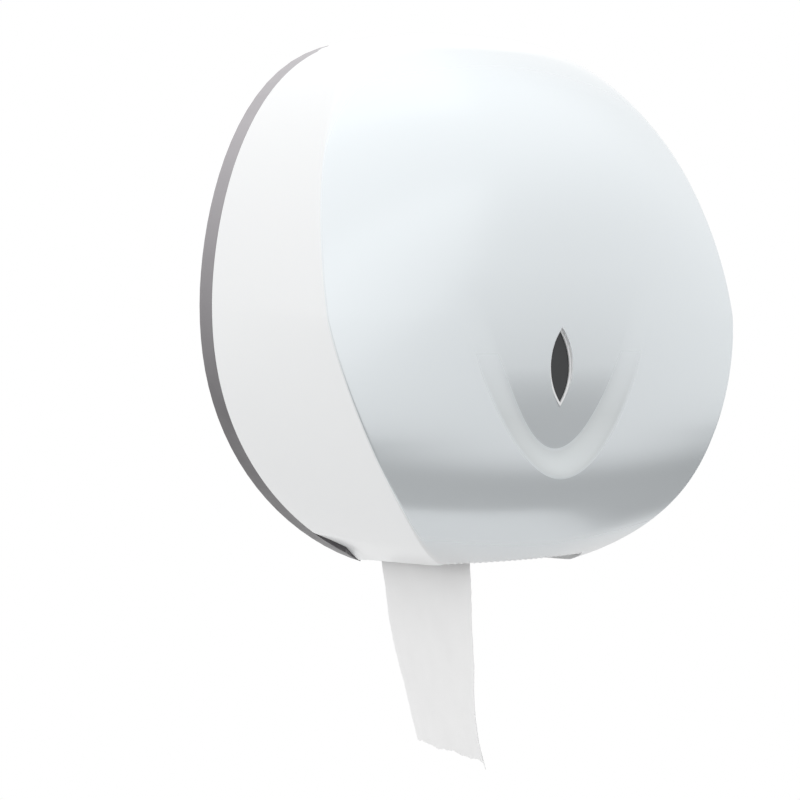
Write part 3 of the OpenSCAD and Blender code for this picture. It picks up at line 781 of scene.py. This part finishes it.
@dataclass
class Cover:
    """The lift-up cover, its window and its lock, with sizes in millimetres."""

    wall_line: Outline = Outline(123, -1.5, 134.5, 138, 1.8, 2.2, 3.15, 1.7)
    front_line: Outline = Outline(122.5, -6, 137.5, 126.5, 1.95, 1.4, 3.05, 2.55)
    edge_depth: float = 122.5
    deep_z: float = -63.5
    top_recede: float = 62.5
    top_power: float = 1.7
    bottom_recede: float = 39
    bottom_power: float = 3.1
    crown: float = 7.5
    mid_recede: float = 64
    mid_power: float = 4.1
    mid_drop: float = 5
    edge_round: float = 1.2
    top_round: float = 9
    round_from_z: float = 62
    scoop: Scoop = Scoop()
    wall: float = 2.5
    rim_depth: float = 12
    ledge: float = 2.6
    ledge_half: float = 19
    gap: float = 0.3
    hair: float = 0.001
    top_gap: float = 6.5
    bottom_gap: float = 1
    rim_top: Pair = (48, 15)
    rim_low: Pair = (29, 17)
    slot: Pair = (46.5, 37.5)
    slot_back: float = 31.5
    slot_bend: float = 2.3
    slot_steps: int = 25
    teeth_z: float = -124.5
    tooth_pitch: float = 3.2
    tooth_h: float = 1.4
    relief_y: float = 97.5
    relief_h: Pair = (-1, 3)
    window_z: float = -30.5
    window_h: float = 37.6
    window_w: float = 13.6
    window_steps: int = 48
    lens_seat: float = 123.7
    lens_flange: float = 2.5
    seat_margin: float = 0.6
    seat_h: float = 2.4
    hinge: Pair = (-26, 123)
    knuckle_r: float = 4
    knuckle_x: float = 34
    knuckle_l: float = 7
    knuckle_gap: float = 0.5
    web_share: float = 0.88
    pin_r: float = 2
    pin_bore: Pair = (16, 50)
    pin_play: float = 0.02
    lock_a: float = -62
    lock_y: float = 46
    lock_flange_r: float = 10.5
    lock_sleeve_r: float = 7.8
    lock_seat: float = 1.2
    flange_play: float = 0.4
    sleeve_play: float = 0.1
    boss_in: float = 7.5
    boss_sunk: float = 0.6
    boss_wall: float = 1.5
    trim_l: float = 6
    outer_grid: Grid = Grid(480, 14, 10, 130)
    inner_grid: Grid = Grid(240, 8, 4, 60)
    finish: CoverFinish = CoverFinish()

    @property
    def mid(self) -> np.ndarray:
        """Point that the rings of the front close in on."""
        return np.array([0.0, self.window_z - self.mid_drop])

    def low_curl(self, z: np.ndarray) -> np.ndarray:
        """Gives how far the front curls back under at heights z.

        Args:
            z: Heights.

        Returns:
            Distances towards the wall.
        """
        low = self.front_line.widest - self.front_line.fall
        part = np.clip((self.deep_z - z) / (self.deep_z - low), 0, 1)
        return self.bottom_recede * part**self.bottom_power

    def up_part(self, z: np.ndarray) -> np.ndarray:
        """Gives the share of the way from the deepest line to the top."""
        top = self.front_line.widest + self.front_line.rise
        return np.clip((z - self.deep_z) / (top - self.deep_z), 0, 1)

    def edge_y(self, z: np.ndarray) -> np.ndarray:
        """Gives the depth of the front's edge at heights z."""
        return -self.edge_depth + self.top_recede * self.up_part(z) ** self.top_power + self.low_curl(z)

    def mid_y(self, z: np.ndarray) -> np.ndarray:
        """Gives the depth of the front's middle at heights z."""
        lean = self.mid_recede * self.up_part(z) ** self.mid_power
        return -self.edge_depth - self.crown + lean + self.low_curl(z)

    def front_y(self, x: np.ndarray, z: np.ndarray) -> np.ndarray:
        """Gives the depth of the front at points x and z.

        Args:
            x: Places across.
            z: Heights.

        Returns:
            The y of each point.
        """
        w = np.maximum(self.front_line.width(z), 1)
        across = 1 - np.clip(np.abs(x) / w, 0, 1) ** 2
        return self.edge_y(z) + (self.mid_y(z) - self.edge_y(z)) * across + self.scoop.cut(x, z)

    def front_pt(self, a: np.ndarray, k: np.ndarray, inset: float) -> np.ndarray:
        """Gives points of the front at angles a and shares k of the way out.

        Args:
            a: Angles round the outline, in radians.
            k: Share of the way from the middle to the outline.
            inset: How far inside the outer skin.

        Returns:
            Points in millimetres.
        """
        q = self.mid + (self.front_line.inset(a, inset) - self.mid) * k[..., None]
        x, z = q[..., 0], q[..., 1]
        slope = (self.front_y(x, z + 2) - self.front_y(x, z - 2)) / 4
        y = self.front_y(x, z) + inset * np.minimum(np.sqrt(1 + slope * slope), 1.5)
        return np.stack([x, y, z], axis=-1)

    def edge_pt(self, a: np.ndarray, inset: float) -> np.ndarray:
        """Gives points of the front's sharp edge at angles a.

        Args:
            a: Angles round the outline, in radians.
            inset: How far inside the outer skin.

        Returns:
            Points in millimetres.
        """
        q = self.front_line.inset(a, inset)
        y = self.edge_y(self.front_line.points(a)[..., 1]) + inset
        return np.stack([q[..., 0], y, q[..., 1]], axis=-1)

    def wall_pt(self, a: np.ndarray, y: float, inset: float) -> np.ndarray:
        """Gives points of the outline at the wall at angles a and depth y."""
        q = self.wall_line.inset(a, inset)
        return np.stack([q[..., 0], np.full_like(a, y), q[..., 1]], axis=-1)

    def near_pt(self, a: np.ndarray, inset: float) -> np.ndarray:
        """Gives points of the back edge at angles a: it stands in from the rim near the rim's lower ends.

        Args:
            a: Angles round the outline, in radians.
            inset: How far inside the outer skin.

        Returns:
            Points in millimetres.
        """
        q = self.wall_line.points(a)
        share = 1 - ((np.abs(q[..., 0]) - sum(self.rim_low)) / self.ledge_half) ** 2
        ledge = np.where(q[..., 1] > 0, 0, self.ledge * np.maximum(share, 0))
        q = self.wall_line.inset(a, inset + ledge)
        return np.stack([q[..., 0], np.full_like(a, -self.rim_depth), q[..., 1]], axis=-1)

    def rings(self, grid: Grid, inset: float) -> np.ndarray:
        """Gives the rings of the cover's skin.

        Args:
            grid: Its fineness.
            inset: How far inside the outer skin.

        Returns:
            An array of rings by points by three.
        """
        a = 2 * math.pi * np.arange(grid.count) / grid.count
        corner = self.front_line.points(a)
        top = self.front_line.widest + self.front_line.rise
        soft = self.edge_round + (self.top_round - self.edge_round) * ease(
            (corner[:, 1] - self.round_from_z) / (top - self.round_from_z)
        )
        near, far = self.near_pt(a, 0), self.edge_pt(a, 0)
        side_share = 1 - soft / np.linalg.norm(far - near, axis=-1)
        front_share = 1 - soft / np.linalg.norm(corner - self.mid, axis=-1)
        near, far = self.near_pt(a, inset), self.edge_pt(a, inset)
        rows = [self.wall_pt(a, 1 + inset, inset)]
        rows += [near + (far - near) * (side_share * k / grid.sides)[:, None] for k in range(grid.sides)]
        p = near + (far - near) * side_share[:, None]
        q = self.front_pt(a, front_share, inset)
        for t in np.arange(grid.edges + 1) / grid.edges:
            rows.append(p * (1 - t) ** 2 + far * 2 * t * (1 - t) + q * t * t)
        rows += [self.front_pt(a, front_share * (1 - k / grid.fronts), inset) for k in range(1, grid.fronts)]
        return np.array(rows)

    def skin(self, name: str, grid: Grid, inset: float) -> Piece:
        """Makes a closed solid from the wall to the front.

        Args:
            name: Name of the piece.
            grid: Its fineness.
            inset: How far inside the outer skin.

        Returns:
            The new object.
        """
        rings, count = self.rings(grid, inset), grid.count
        points = np.concatenate([rings.reshape(-1, 3), self.front_pt(np.zeros(1), np.zeros(1), inset)])
        last = (len(rings) - 1) * count
        faces = grid_faces(len(rings), count).tolist()
        faces += [[last + i, last + (i + 1) % count, len(points) - 1] for i in range(count)]
        faces += [list(range(count))[::-1]]
        return mesh_piece(name, points, faces)

    def window_outline(self, grow: float) -> np.ndarray:
        """Gives the window's outline as corners in x and z.

        Args:
            grow: How far it is moved out.

        Returns:
            The corners.
        """
        w, h = self.window_w, self.window_h
        r = (w * w + h * h) / (4 * w)
        off, reach = r - w / 2, r + grow
        top = math.asin(math.sqrt(reach * reach - off * off) / reach)
        turns = np.linspace(-top, top, self.window_steps)
        right = [(reach * math.cos(t) - off, self.window_z + reach * math.sin(t)) for t in turns]
        left = [(-x, z) for x, z in right[::-1]][1:-1]
        return np.array(right + left)

    def slot_tool(self) -> Piece:
        """Makes the tool that cuts the slot: saw-toothed in front, narrower towards the wall.

        Returns:
            The closed tool.
        """
        left, right = self.slot
        z, pitch = self.teeth_z, self.tooth_pitch
        count = int((left + right) // pitch)
        start = (right - left - count * pitch) / 2
        line = [(right, -PAST), (right, z)]
        for i in range(count - 1, -1, -1):
            line += [(start + (i + 1) * pitch, z), (start + (i + 0.5) * pitch, z + self.tooth_h)]
        line += [(start, z), (-left, z), (-left, -PAST)]
        tool = prism("slot", np.array(line), 2, -PAST)
        k = np.linspace(0, 1, self.slot_steps)
        y = 1 + (float(self.edge_y(np.array(z))) - 1) * k
        back = self.slot_back
        bend = k**self.slot_bend
        plan = list(zip(-(back + (left - back) * bend), y)) + [(-left, -2 * PAST), (right, -2 * PAST)]
        plan += list(zip(back + (right - back) * bend, y))[::-1]
        cut(tool, [floor_prism("slot_plan", np.array(plan), -2 * PAST, 0)], "INTERSECT")
        return tool

    def rim_cuts(self) -> list[Piece]:
        """Makes the tools that leave room for the base's rim.

        Returns:
            Closed tools.
        """
        tools = []
        d, deep = self.rim_depth, self.rim_depth + self.gap
        for side in (-1, 1):
            for (x, run), (z0, z1) in ((self.rim_top, (self.hair, PAST)), (self.rim_low, (-PAST, 0))):
                start = x - self.gap * math.hypot(run, d) / d
                line = [(start, d), (start, 0), (start + run * deep / d, -deep), (PAST, -deep), (PAST, d)]
                tools.append(floor_prism("rim_cut", np.array([(side * px, py) for px, py in line]), z0, z1))
        return tools

    def lock_axis(self) -> tuple[Vector, Vector]:
        """Gives the lock's place on the cover's side and its outward direction.

        Returns:
            The place and the direction.
        """
        a = np.array([math.radians(self.lock_a)])
        near, far = self.near_pt(a, 0)[0], self.edge_pt(a, 0)[0]
        at = near + (far - near) * (self.lock_y - self.rim_depth) / (-far[1] - self.rim_depth)
        n = self.wall_line.normals(a)[0]
        return Vector((at[0], -self.lock_y, at[2])), Vector((n[0], 0, n[1]))

    def knuckles(self) -> list[Piece]:
        """Makes the knuckles of the hinge, each with the web that joins it to the wall.

        Returns:
            Closed solids to join.
        """
        made = []
        y, z = self.hinge
        reach, line = self.knuckle_r, self.wall_line
        inner = self.knuckle_x - self.knuckle_l / 2 - self.knuckle_gap - self.knuckle_l
        outer = self.knuckle_x + self.knuckle_l / 2 + self.knuckle_gap
        for side in (-1, 1):
            for x in (inner, outer):
                x0, x1 = sorted((side * x, side * (x + self.knuckle_l)))
                made.append(rod("knuckle", Vector((x0, y, z)), Vector((x1, y, z)), reach))
                share = 1 - (abs(x + self.knuckle_l / 2) / line.half) ** line.rise_flat
                top = line.widest + line.rise * share ** (1 / line.rise_power) - self.wall * self.web_share
                made.append(block("web", (x0, y - reach, z), (x1, y + reach, top)))
        return made

    def openings(self, at: Vector, out: Vector) -> list[Piece]:
        """Makes the tools that open the shell.

        Args:
            at: The lock's place.
            out: The lock's outward direction.

        Returns:
            Closed tools to take away.
        """
        half, sunk, flange_r = self.slot[1], self.boss_in, self.lock_flange_r
        relief_low, relief_high = (self.teeth_z + h for h in self.relief_h)
        y, z = self.hinge
        bores = []
        for side in (-1, 1):
            start, end = (Vector((side * x, y, z)) for x in self.pin_bore)
            bores.append(rod("pin_bore", start, end, self.pin_r + self.pin_play))
        return [
            *self.rim_cuts(),
            block("top_cut", (-PAST, -self.top_gap, 0), (PAST, PAST, PAST)),
            block("low_cut", (-PAST, -self.bottom_gap, -PAST), (PAST, PAST, 0)),
            self.slot_tool(),
            block("relief", (-half, -self.relief_y, relief_low), (half, -self.rim_depth, relief_high)),
            prism("window", self.window_outline(0), -self.lens_seat + 2, -PAST),
            rod("lock_face", at - out * self.lock_seat, at + out * flange_r, flange_r + self.flange_play),
            rod("lock_bore", at - out * (sunk + 1), at + out, self.lock_sleeve_r + self.sleeve_play),
            rod("lock_trim", at - out * (sunk + self.trim_l), at - out * sunk, flange_r + self.boss_wall * 2),
            *bores,
        ]

    def build(self) -> Piece:
        """Builds the cover's moulding.

        Returns:
            The new piece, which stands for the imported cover.
        """
        shell = self.skin("cover_shell", self.outer_grid, 0)
        cut(shell, [self.skin("cover_inside", self.inner_grid, self.wall)])
        at, out = self.lock_axis()
        seat = self.window_outline(self.lens_flange + self.seat_margin)
        boss_r = self.lock_flange_r + self.boss_wall
        joins = [
            *self.knuckles(),
            rod("lock_boss", at - out * self.boss_in, at - out * self.boss_sunk, boss_r),
            prism("seat", seat, -self.lens_seat, -self.lens_seat - self.seat_h),
        ]
        cut(shell, joins, "UNION")
        cut(shell, self.openings(at, out))
        smooth(shell, angle=28)
        return shell

    def dress(self) -> Piece:
        """Builds the cover and gives it its finish."""
        return placed(self.build(), self.finish.material(), Body.COVER, "front_cover")


# ---------- Paper ----------


@dataclass
class Paper:
    """Height of the roll's axis, in millimetres, and the direction in which its end leaves it, in degrees."""

    spindle_z: float = -8
    leave_a: float = 232


@dataclass
class WoundRoll(Paper):
    """The paper wound on its core: layers that stand unevenly at the ends, in millimetres."""

    outer: float = 88
    inner: float = 31.1
    back_y: float = -5.5
    front_y: float = -96.5
    sheet: float = 0.5
    layers: int = 44
    unevenness: float = 0.55
    looseness: float = 0.45
    across: int = 12
    around: int = 288
    seed: int = 11
    finish: WoundEdge = WoundEdge()

    def end_profile(self, rng: np.random.Generator) -> list[Pair]:
        """Gives one end from the core outwards as radius and how far each layer stands in.

        Args:
            rng: Source of the unevenness.

        Returns:
            Pairs of radius and depth.
        """
        edges = np.linspace(self.inner, self.outer - self.sheet, self.layers + 1)
        edges[1:-1] += rng.uniform(-0.3, 0.3, self.layers - 1)
        sunk = rng.uniform(0, self.unevenness, self.layers)
        return [(r, float(d)) for a, b, d in zip(edges[:-1], edges[1:], sunk) for r in (a + 0.12, b - 0.12)]

    def build(self) -> Piece:
        """Builds the roll as one turned mesh whose outer layer is a loose spiral.

        Returns:
            The new piece.
        """
        rng = np.random.default_rng(self.seed)
        back = [(r, self.back_y - d) for r, d in self.end_profile(rng)]
        front = [(r, self.front_y + d) for r, d in self.end_profile(rng)][::-1]
        ys = np.linspace(self.back_y - 0.5, self.front_y + 0.5, self.across)
        skin = [(self.outer - 0.2 * abs(math.sin(3.1 * k)), y) for k, y in enumerate(ys)]
        profile = np.array(back + skin + front)
        a = 2 * math.pi * np.arange(self.around) / self.around
        turn = np.mod(math.radians(self.leave_a) - a, 2 * math.pi) / (2 * math.pi)
        slack = self.looseness * (0.5 + 0.3 * np.sin(2 * a + 0.7) + 0.2 * np.sin(5 * a + 2.1))
        share = ((profile[:, 0] - self.inner) / (self.outer - self.inner)).clip(0, 1)[:, None]
        r = profile[:, :1] - share**3 * (self.sheet * turn + slack)[None, :]
        ys = np.broadcast_to(profile[:, 1:], r.shape)
        points = np.stack([r * np.cos(a), ys, self.spindle_z + r * np.sin(a)], axis=-1)
        closed = np.concatenate([points, points[:1]]).reshape(-1, 3)
        count = len(points) * self.around
        faces = np.mod(grid_faces(len(points) + 1, self.around), count).tolist()
        piece = mesh_piece("roll_winding", closed[:count], faces)
        smooth(piece, angle=40)
        return piece

    def dress(self) -> Piece:
        """Builds the roll and gives it its finish."""
        return placed(self.build(), self.finish.material(), Body.ROLL, "paper_roll")


@dataclass
class PaperTail(Paper):
    """Hanging end of the paper, with its curl, crumples and torn edge, in millimetres.

    Pairs give a value at the wall's side and one at the front.
    """

    leave_r: float = 87.9
    teeth_z: float = -124.5
    drop: Pair = (103.6, 99.4)
    top_x: Pair = (-20.6, -29.8)
    slope: Pair = (0.084, 0.095)
    curl: Pair = (0.00122, -0.00186)
    flick: Pair = (0.0, 0.00002)
    back_y: float = -5.9
    front_y: float = -96.1
    skin: float = 0.25
    border_curl: float = 1.3
    border_share: Pair = (0.07, 0.06)
    border_run: Pair = (20, 60)
    free_run: float = 25
    fray: float = 0.45
    torn: tuple[Triple, ...] = ((0.7, 5.1, 0.8), (0.5, 17, 2.0), (0.3, 41, 0), (0.2, 97, 0))
    wisp: Pair = (1.8, 0.035)
    across: int = 64
    lead: int = 40
    hang: int = 90
    handle: float = 20
    waves: tuple[Pair, ...] = ((34, 0.55), (15, 0.16), (6, 0.05))
    seed: int = 7
    finish: CrepedTissue = CrepedTissue()

    def line(self, v: float) -> np.ndarray:
        """Gives the tail's centre line at share v of its width.

        Args:
            v: 0 at the wall's side, 1 at the front.

        Returns:
            Points as x and z.
        """
        top_x, slope, curl, flick = (
            back + (front - back) * v for back, front in (self.top_x, self.slope, self.curl, self.flick)
        )
        a, r = math.radians(self.leave_a), self.leave_r
        p0 = np.array([r * math.cos(a), self.spindle_z + r * math.sin(a)])
        p1 = p0 + self.handle * np.array([-math.sin(a), math.cos(a)])
        p3 = np.array([top_x, self.teeth_z])
        p2 = p3 + np.array([-slope * self.handle, self.handle])
        t = np.linspace(0, 1, self.lead + 1)[:, None]
        u = 1 - t
        lead = p0 * u**3 + p1 * 3 * u * u * t + p2 * 3 * u * t * t + p3 * t**3
        d = self.reach(v) * np.arange(1, self.hang + 1) / self.hang
        hang = np.stack([top_x + slope * d + curl * d**2 + flick * d**3, self.teeth_z - d], axis=-1)
        return np.concatenate([lead, hang])

    def reach(self, v: float) -> float:
        """Gives how far the torn edge hangs below the teeth at share v of the width.

        Args:
            v: 0 at the wall's side, 1 at the front.

        Returns:
            Length in millimetres.
        """
        torn = sum(high * math.sin(pace * v + phase) for high, pace, phase in self.torn)
        long, wide = self.wisp
        wisp = long * max(0.0, (v - 1 + wide) / wide)
        return self.drop[0] + (self.drop[1] - self.drop[0]) * v + torn + wisp

    def crumple(self, v: np.ndarray, d: np.ndarray) -> np.ndarray:
        """Gives the small waves of the sheet.

        Args:
            v: Share of the width.
            d: Length along the sheet from the roll, in millimetres.

        Returns:
            Offsets along the sheet's normal, in millimetres.
        """
        rng = np.random.default_rng(self.seed)
        total = np.zeros_like(v)
        for scale, high in self.waves:
            for _ in range(6):
                angle = rng.uniform(-0.5, 0.5) + math.pi / 2 * rng.integers(0, 2)
                phase = rng.uniform(0, 6.28)
                size = scale * rng.uniform(0.8, 1.3)
                way = math.cos(angle) * v * 90 + math.sin(angle) * d
                total += high / 3 * np.sin(way / size * math.pi + phase)
        return total

    def build(self) -> tuple[Piece, float]:
        """Builds the sheet.

        Returns:
            The new piece, and its length in metres.
        """
        vs = np.linspace(0, 1, self.across)
        lines = np.stack([self.line(v) for v in vs], axis=1)
        ys = self.back_y + (self.front_y - self.back_y) * vs
        mid = np.stack([lines[..., 0], np.broadcast_to(ys, lines.shape[:2]), lines[..., 1]], axis=-1)
        step = np.gradient(mid, axis=0)
        side = np.gradient(mid, axis=1)
        normal = np.cross(side, step)
        normal /= np.linalg.norm(normal, axis=-1, keepdims=True)
        run = np.cumsum(np.linalg.norm(np.diff(mid, axis=0, prepend=mid[:1]), axis=-1), axis=0)
        below = run - run[self.lead]
        wave = self.crumple(np.broadcast_to(vs, run.shape), run) * np.clip(below / self.free_run, 0, 1)
        back, front = self.border_share
        border = np.maximum(1 - vs / back, 0) ** 2 - np.maximum(1 - (1 - vs) / front, 0) ** 2
        start, length = self.border_run
        lower = ease((below - start) / length)
        mid = mid + normal * (wave + self.border_curl * border * lower)[..., None]
        rng = np.random.default_rng(self.seed + 1)
        for column, sign in ((0, 1), (-1, -1)):
            mid[self.lead :, column, 1] -= sign * rng.uniform(0, self.fray, len(run) - self.lead)
        rows, count = mid.shape[:2]
        top = (mid + normal * self.skin / 2).reshape(-1, 3)
        low = (mid - normal * self.skin / 2).reshape(-1, 3)
        points = np.concatenate([top, low])
        i, j = np.meshgrid(np.arange(rows - 1), np.arange(count - 1), indexing="ij")
        a = (i * count + j).ravel()
        quads = np.stack([a, a + 1, a + count + 1, a + count], axis=-1)
        base = rows * count
        faces = quads.tolist() + (quads[:, ::-1] + base).tolist()
        edge = [i * count for i in range(rows)] + [(rows - 1) * count + j for j in range(1, count)]
        edge += [i * count + count - 1 for i in range(rows - 2, -1, -1)] + list(range(count - 2, 0, -1))
        for k, p in enumerate(edge):
            q = edge[(k + 1) % len(edge)]
            faces.append([p, q, q + base, p + base])
        piece = mesh_piece("paper_sheet", points, faces)
        smooth(piece, angle=60)
        return piece, float(run[-1].mean()) * MM

    def dress(self) -> Piece:
        """Builds the tail and gives it its finish.

        Returns:
            The new piece.
        """
        piece, length = self.build()
        placed(piece, self.finish.material(), Body.BASE, "paper_tail")
        return piece


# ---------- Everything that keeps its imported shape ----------


@dataclass
class PackedPieces:
    """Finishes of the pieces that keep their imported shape."""

    # The back plate's grey carries painted light and shade: paler at the top, darker below.
    grey: GreyWithPaintedTopLight = GreyWithPaintedTopLight()
    white: MouldedPlastic = MouldedPlastic("inner_moulding", (0.84, 0.84, 0.82), 0.42)
    rim: MouldedPlastic = MouldedPlastic("window_rim_moulding", (0.90, 0.91, 0.915), 0.25, coat=0.4)
    lens: SmokedAcrylic = SmokedAcrylic()
    zinc: PlatedMetal = PlatedMetal("zinc_plating", (0.62, 0.63, 0.65), 0.34)
    chrome: PlatedMetal = PlatedMetal("lock_plating", (0.78, 0.79, 0.80), 0.14)
    brass: PlatedMetal = PlatedMetal("bare_brass", (0.74, 0.58, 0.30), 0.28)
    board: WoundBoard = WoundBoard()

    def dress(self) -> None:
        """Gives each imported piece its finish."""
        groups = {
            self.grey: ["back_plate"],
            self.white: ["spindle", "hub_cap", "roll_hub"],
            self.rim: ["window_rim"],
            self.lens: ["window_lens"],
            self.zinc: [
                "spindle_screws", "hub_washer", "hub_screw", "lock_keeper", "keeper_screws",
                "lens_screws", "hinge_pin_left", "hinge_pin_right", "lock_washer", "lock_cam", "cam_screw",
            ],
            self.chrome: ["lock_housing"],
            self.brass: ["lock_nut", "lock_barrel"],
            self.board: ["core_tube"],
        }
        for finish, nodes in groups.items():
            made = finish.material()
            for name in nodes:
                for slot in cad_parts[name].material_slots:
                    slot.material = made
                log.info("dressed %s", name)


# ---------- Studio ----------


@dataclass(frozen=True)
class SoftBox:
    """A rectangular area lamp that points at a spot."""

    name: str
    at: Triple
    size: Pair
    watts: float
    aim: Triple = (0, -0.06, 0)

    def light(self) -> None:
        """Makes the lamp."""
        data = bpy.data.lights.new(self.name, "AREA")
        data.shape = "RECTANGLE"
        data.size, data.size_y = self.size
        data.energy = self.watts
        lamp = bpy.data.objects.new(self.name, data)
        lamp.location = self.at
        lamp.rotation_euler = (Vector(self.aim) - Vector(self.at)).to_track_quat("-Z", "Y").to_euler()
        bpy.context.scene.collection.objects.link(lamp)


@dataclass
class Studio:
    """Camera, lamps, surround and floor. The room is a list of heights on the unit sphere and their grey."""

    camera_at: Triple = (-0.640, -0.925, 0.0055)
    yaw: float = 34.5
    pitch: float = -2.9
    lens: float = 97.2
    floor_z: float = -0.9
    floor_half: float = 0.8
    floor_grey: float = 0.76
    backdrop_from: Pair = (-0.1, 0.3)
    room: tuple[Pair, ...] = (
        (-1.0, 0.2),
        (-0.5, 0.2),
        (-0.25, 0.03),
        (-0.08, 0.90),
        (0.08, 0.96),
        (0.3, 1.02),
        (0.6, 1.2),
        (1.0, 1.34),
    )
    boxes: tuple[SoftBox, ...] = (
        SoftBox("left_box", (-1.83, 0.10, 0.49), (1.2, 1.2), 2.5),
        SoftBox("front_box", (0.0, -1.91, 0.75), (1.4, 1.0), 1.0),
        SoftBox("top_box", (0.0, -0.12, 1.70), (1.4, 1.4), 1.0),
    )

    def camera(self) -> None:
        """Puts the camera where the photograph was taken from."""
        data = bpy.data.cameras.new("camera")
        data.lens, data.sensor_width = self.lens, 36
        data.clip_start, data.clip_end = 0.05, 50
        eye = bpy.data.objects.new("camera", data)
        yaw, pitch = math.radians(self.yaw), math.radians(self.pitch)
        look = Vector((math.sin(yaw) * math.cos(pitch), math.cos(yaw) * math.cos(pitch), math.sin(pitch)))
        eye.location = self.camera_at
        eye.rotation_euler = look.to_track_quat("-Z", "Y").to_euler()
        bpy.context.scene.collection.objects.link(eye)
        bpy.context.scene.camera = eye

    def world(self) -> None:
        """Makes the surround: white on the wall's side, and a room that is dark below the horizon before it.

        The camera, and light through tinted plastic, see white all round. Reflections see what lights the
        object.
        """
        g = Graph(bpy.data.worlds.new("surround"), "Background")
        bpy.context.scene.world = g.owner
        _, y, z = g.split(g.node("ShaderNodeTexCoord").outputs["Generated"])
        ramp = g.node("ShaderNodeValToRGB")
        g.link(g.math("MULTIPLY_ADD", z, 0.5, 0.5), ramp.inputs[0])
        elements = ramp.color_ramp.elements
        for height, _ in self.room[1:-1]:
            elements.new((height + 1) / 2)
        peak = max(grey for _, grey in self.room)
        for element, (_, grey) in zip(elements, self.room):
            element.color = (*shade(WHITE, grey / peak), 1)
        level = g.node("ShaderNodeVectorMath", operation="SCALE", Scale=peak)
        g.link(ramp.outputs[0], level.inputs[0])
        start, full = self.backdrop_from
        behind = g.node("ShaderNodeMapRange", interpolation_type="SMOOTHSTEP", From_Min=start, From_Max=full)
        g.link(y, behind.inputs["Value"])
        path = g.node("ShaderNodeLightPath").outputs
        seen = g.math("MAXIMUM", path["Is Camera Ray"], path["Is Transmission Ray"])
        room = g.mix(behind.outputs["Result"], level.outputs[0], WHITE)
        g.set(Color=g.mix(seen, room, WHITE))

    def floor(self) -> None:
        """Lays the plain pale floor, which the camera sees as white."""
        s, z = self.floor_half / MM, self.floor_z / MM
        corners = np.array([(-s, -s, z), (s, -s, z), (s, s, z), (-s, s, z)])
        piece = mesh_piece("floor", corners, [[0, 1, 2, 3]])
        g = Graph(bpy.data.materials.new("floor_card"))
        g.set(Base_Color=(*shade(WHITE, self.floor_grey), 1), Roughness=0.9)
        seen = g.node("ShaderNodeLightPath").outputs["Is Camera Ray"]
        glow = g.node("ShaderNodeEmission", Color=(*WHITE, 1), Strength=1.0)
        pick = g.node("ShaderNodeMixShader")
        for source, target in zip((seen, g.shader.outputs[0], glow.outputs[0]), pick.inputs):
            g.link(source, target)
        g.link(pick.outputs[0], g.tree.nodes["Material Output"].inputs["Surface"])
        piece.data.materials.append(g.owner)

    def build(self) -> None:
        """Sets up the whole studio."""
        self.camera()
        self.world()
        self.floor()
        for box in self.boxes:
            box.light()
        bpy.context.scene.view_settings.view_transform = "Standard"


def main() -> None:
    """Builds and dresses the dispenser in order."""
    logging.basicConfig(level=logging.INFO, format="%(name)s: %(message)s")
    Studio().build()
    PackedPieces().dress()
    for part in (Cover(), WoundRoll(), PaperTail()):
        piece = part.dress()
        log.info("built %s: %d faces", piece.name, len(piece.data.polygons))


if __name__ == "__main__":
    main()
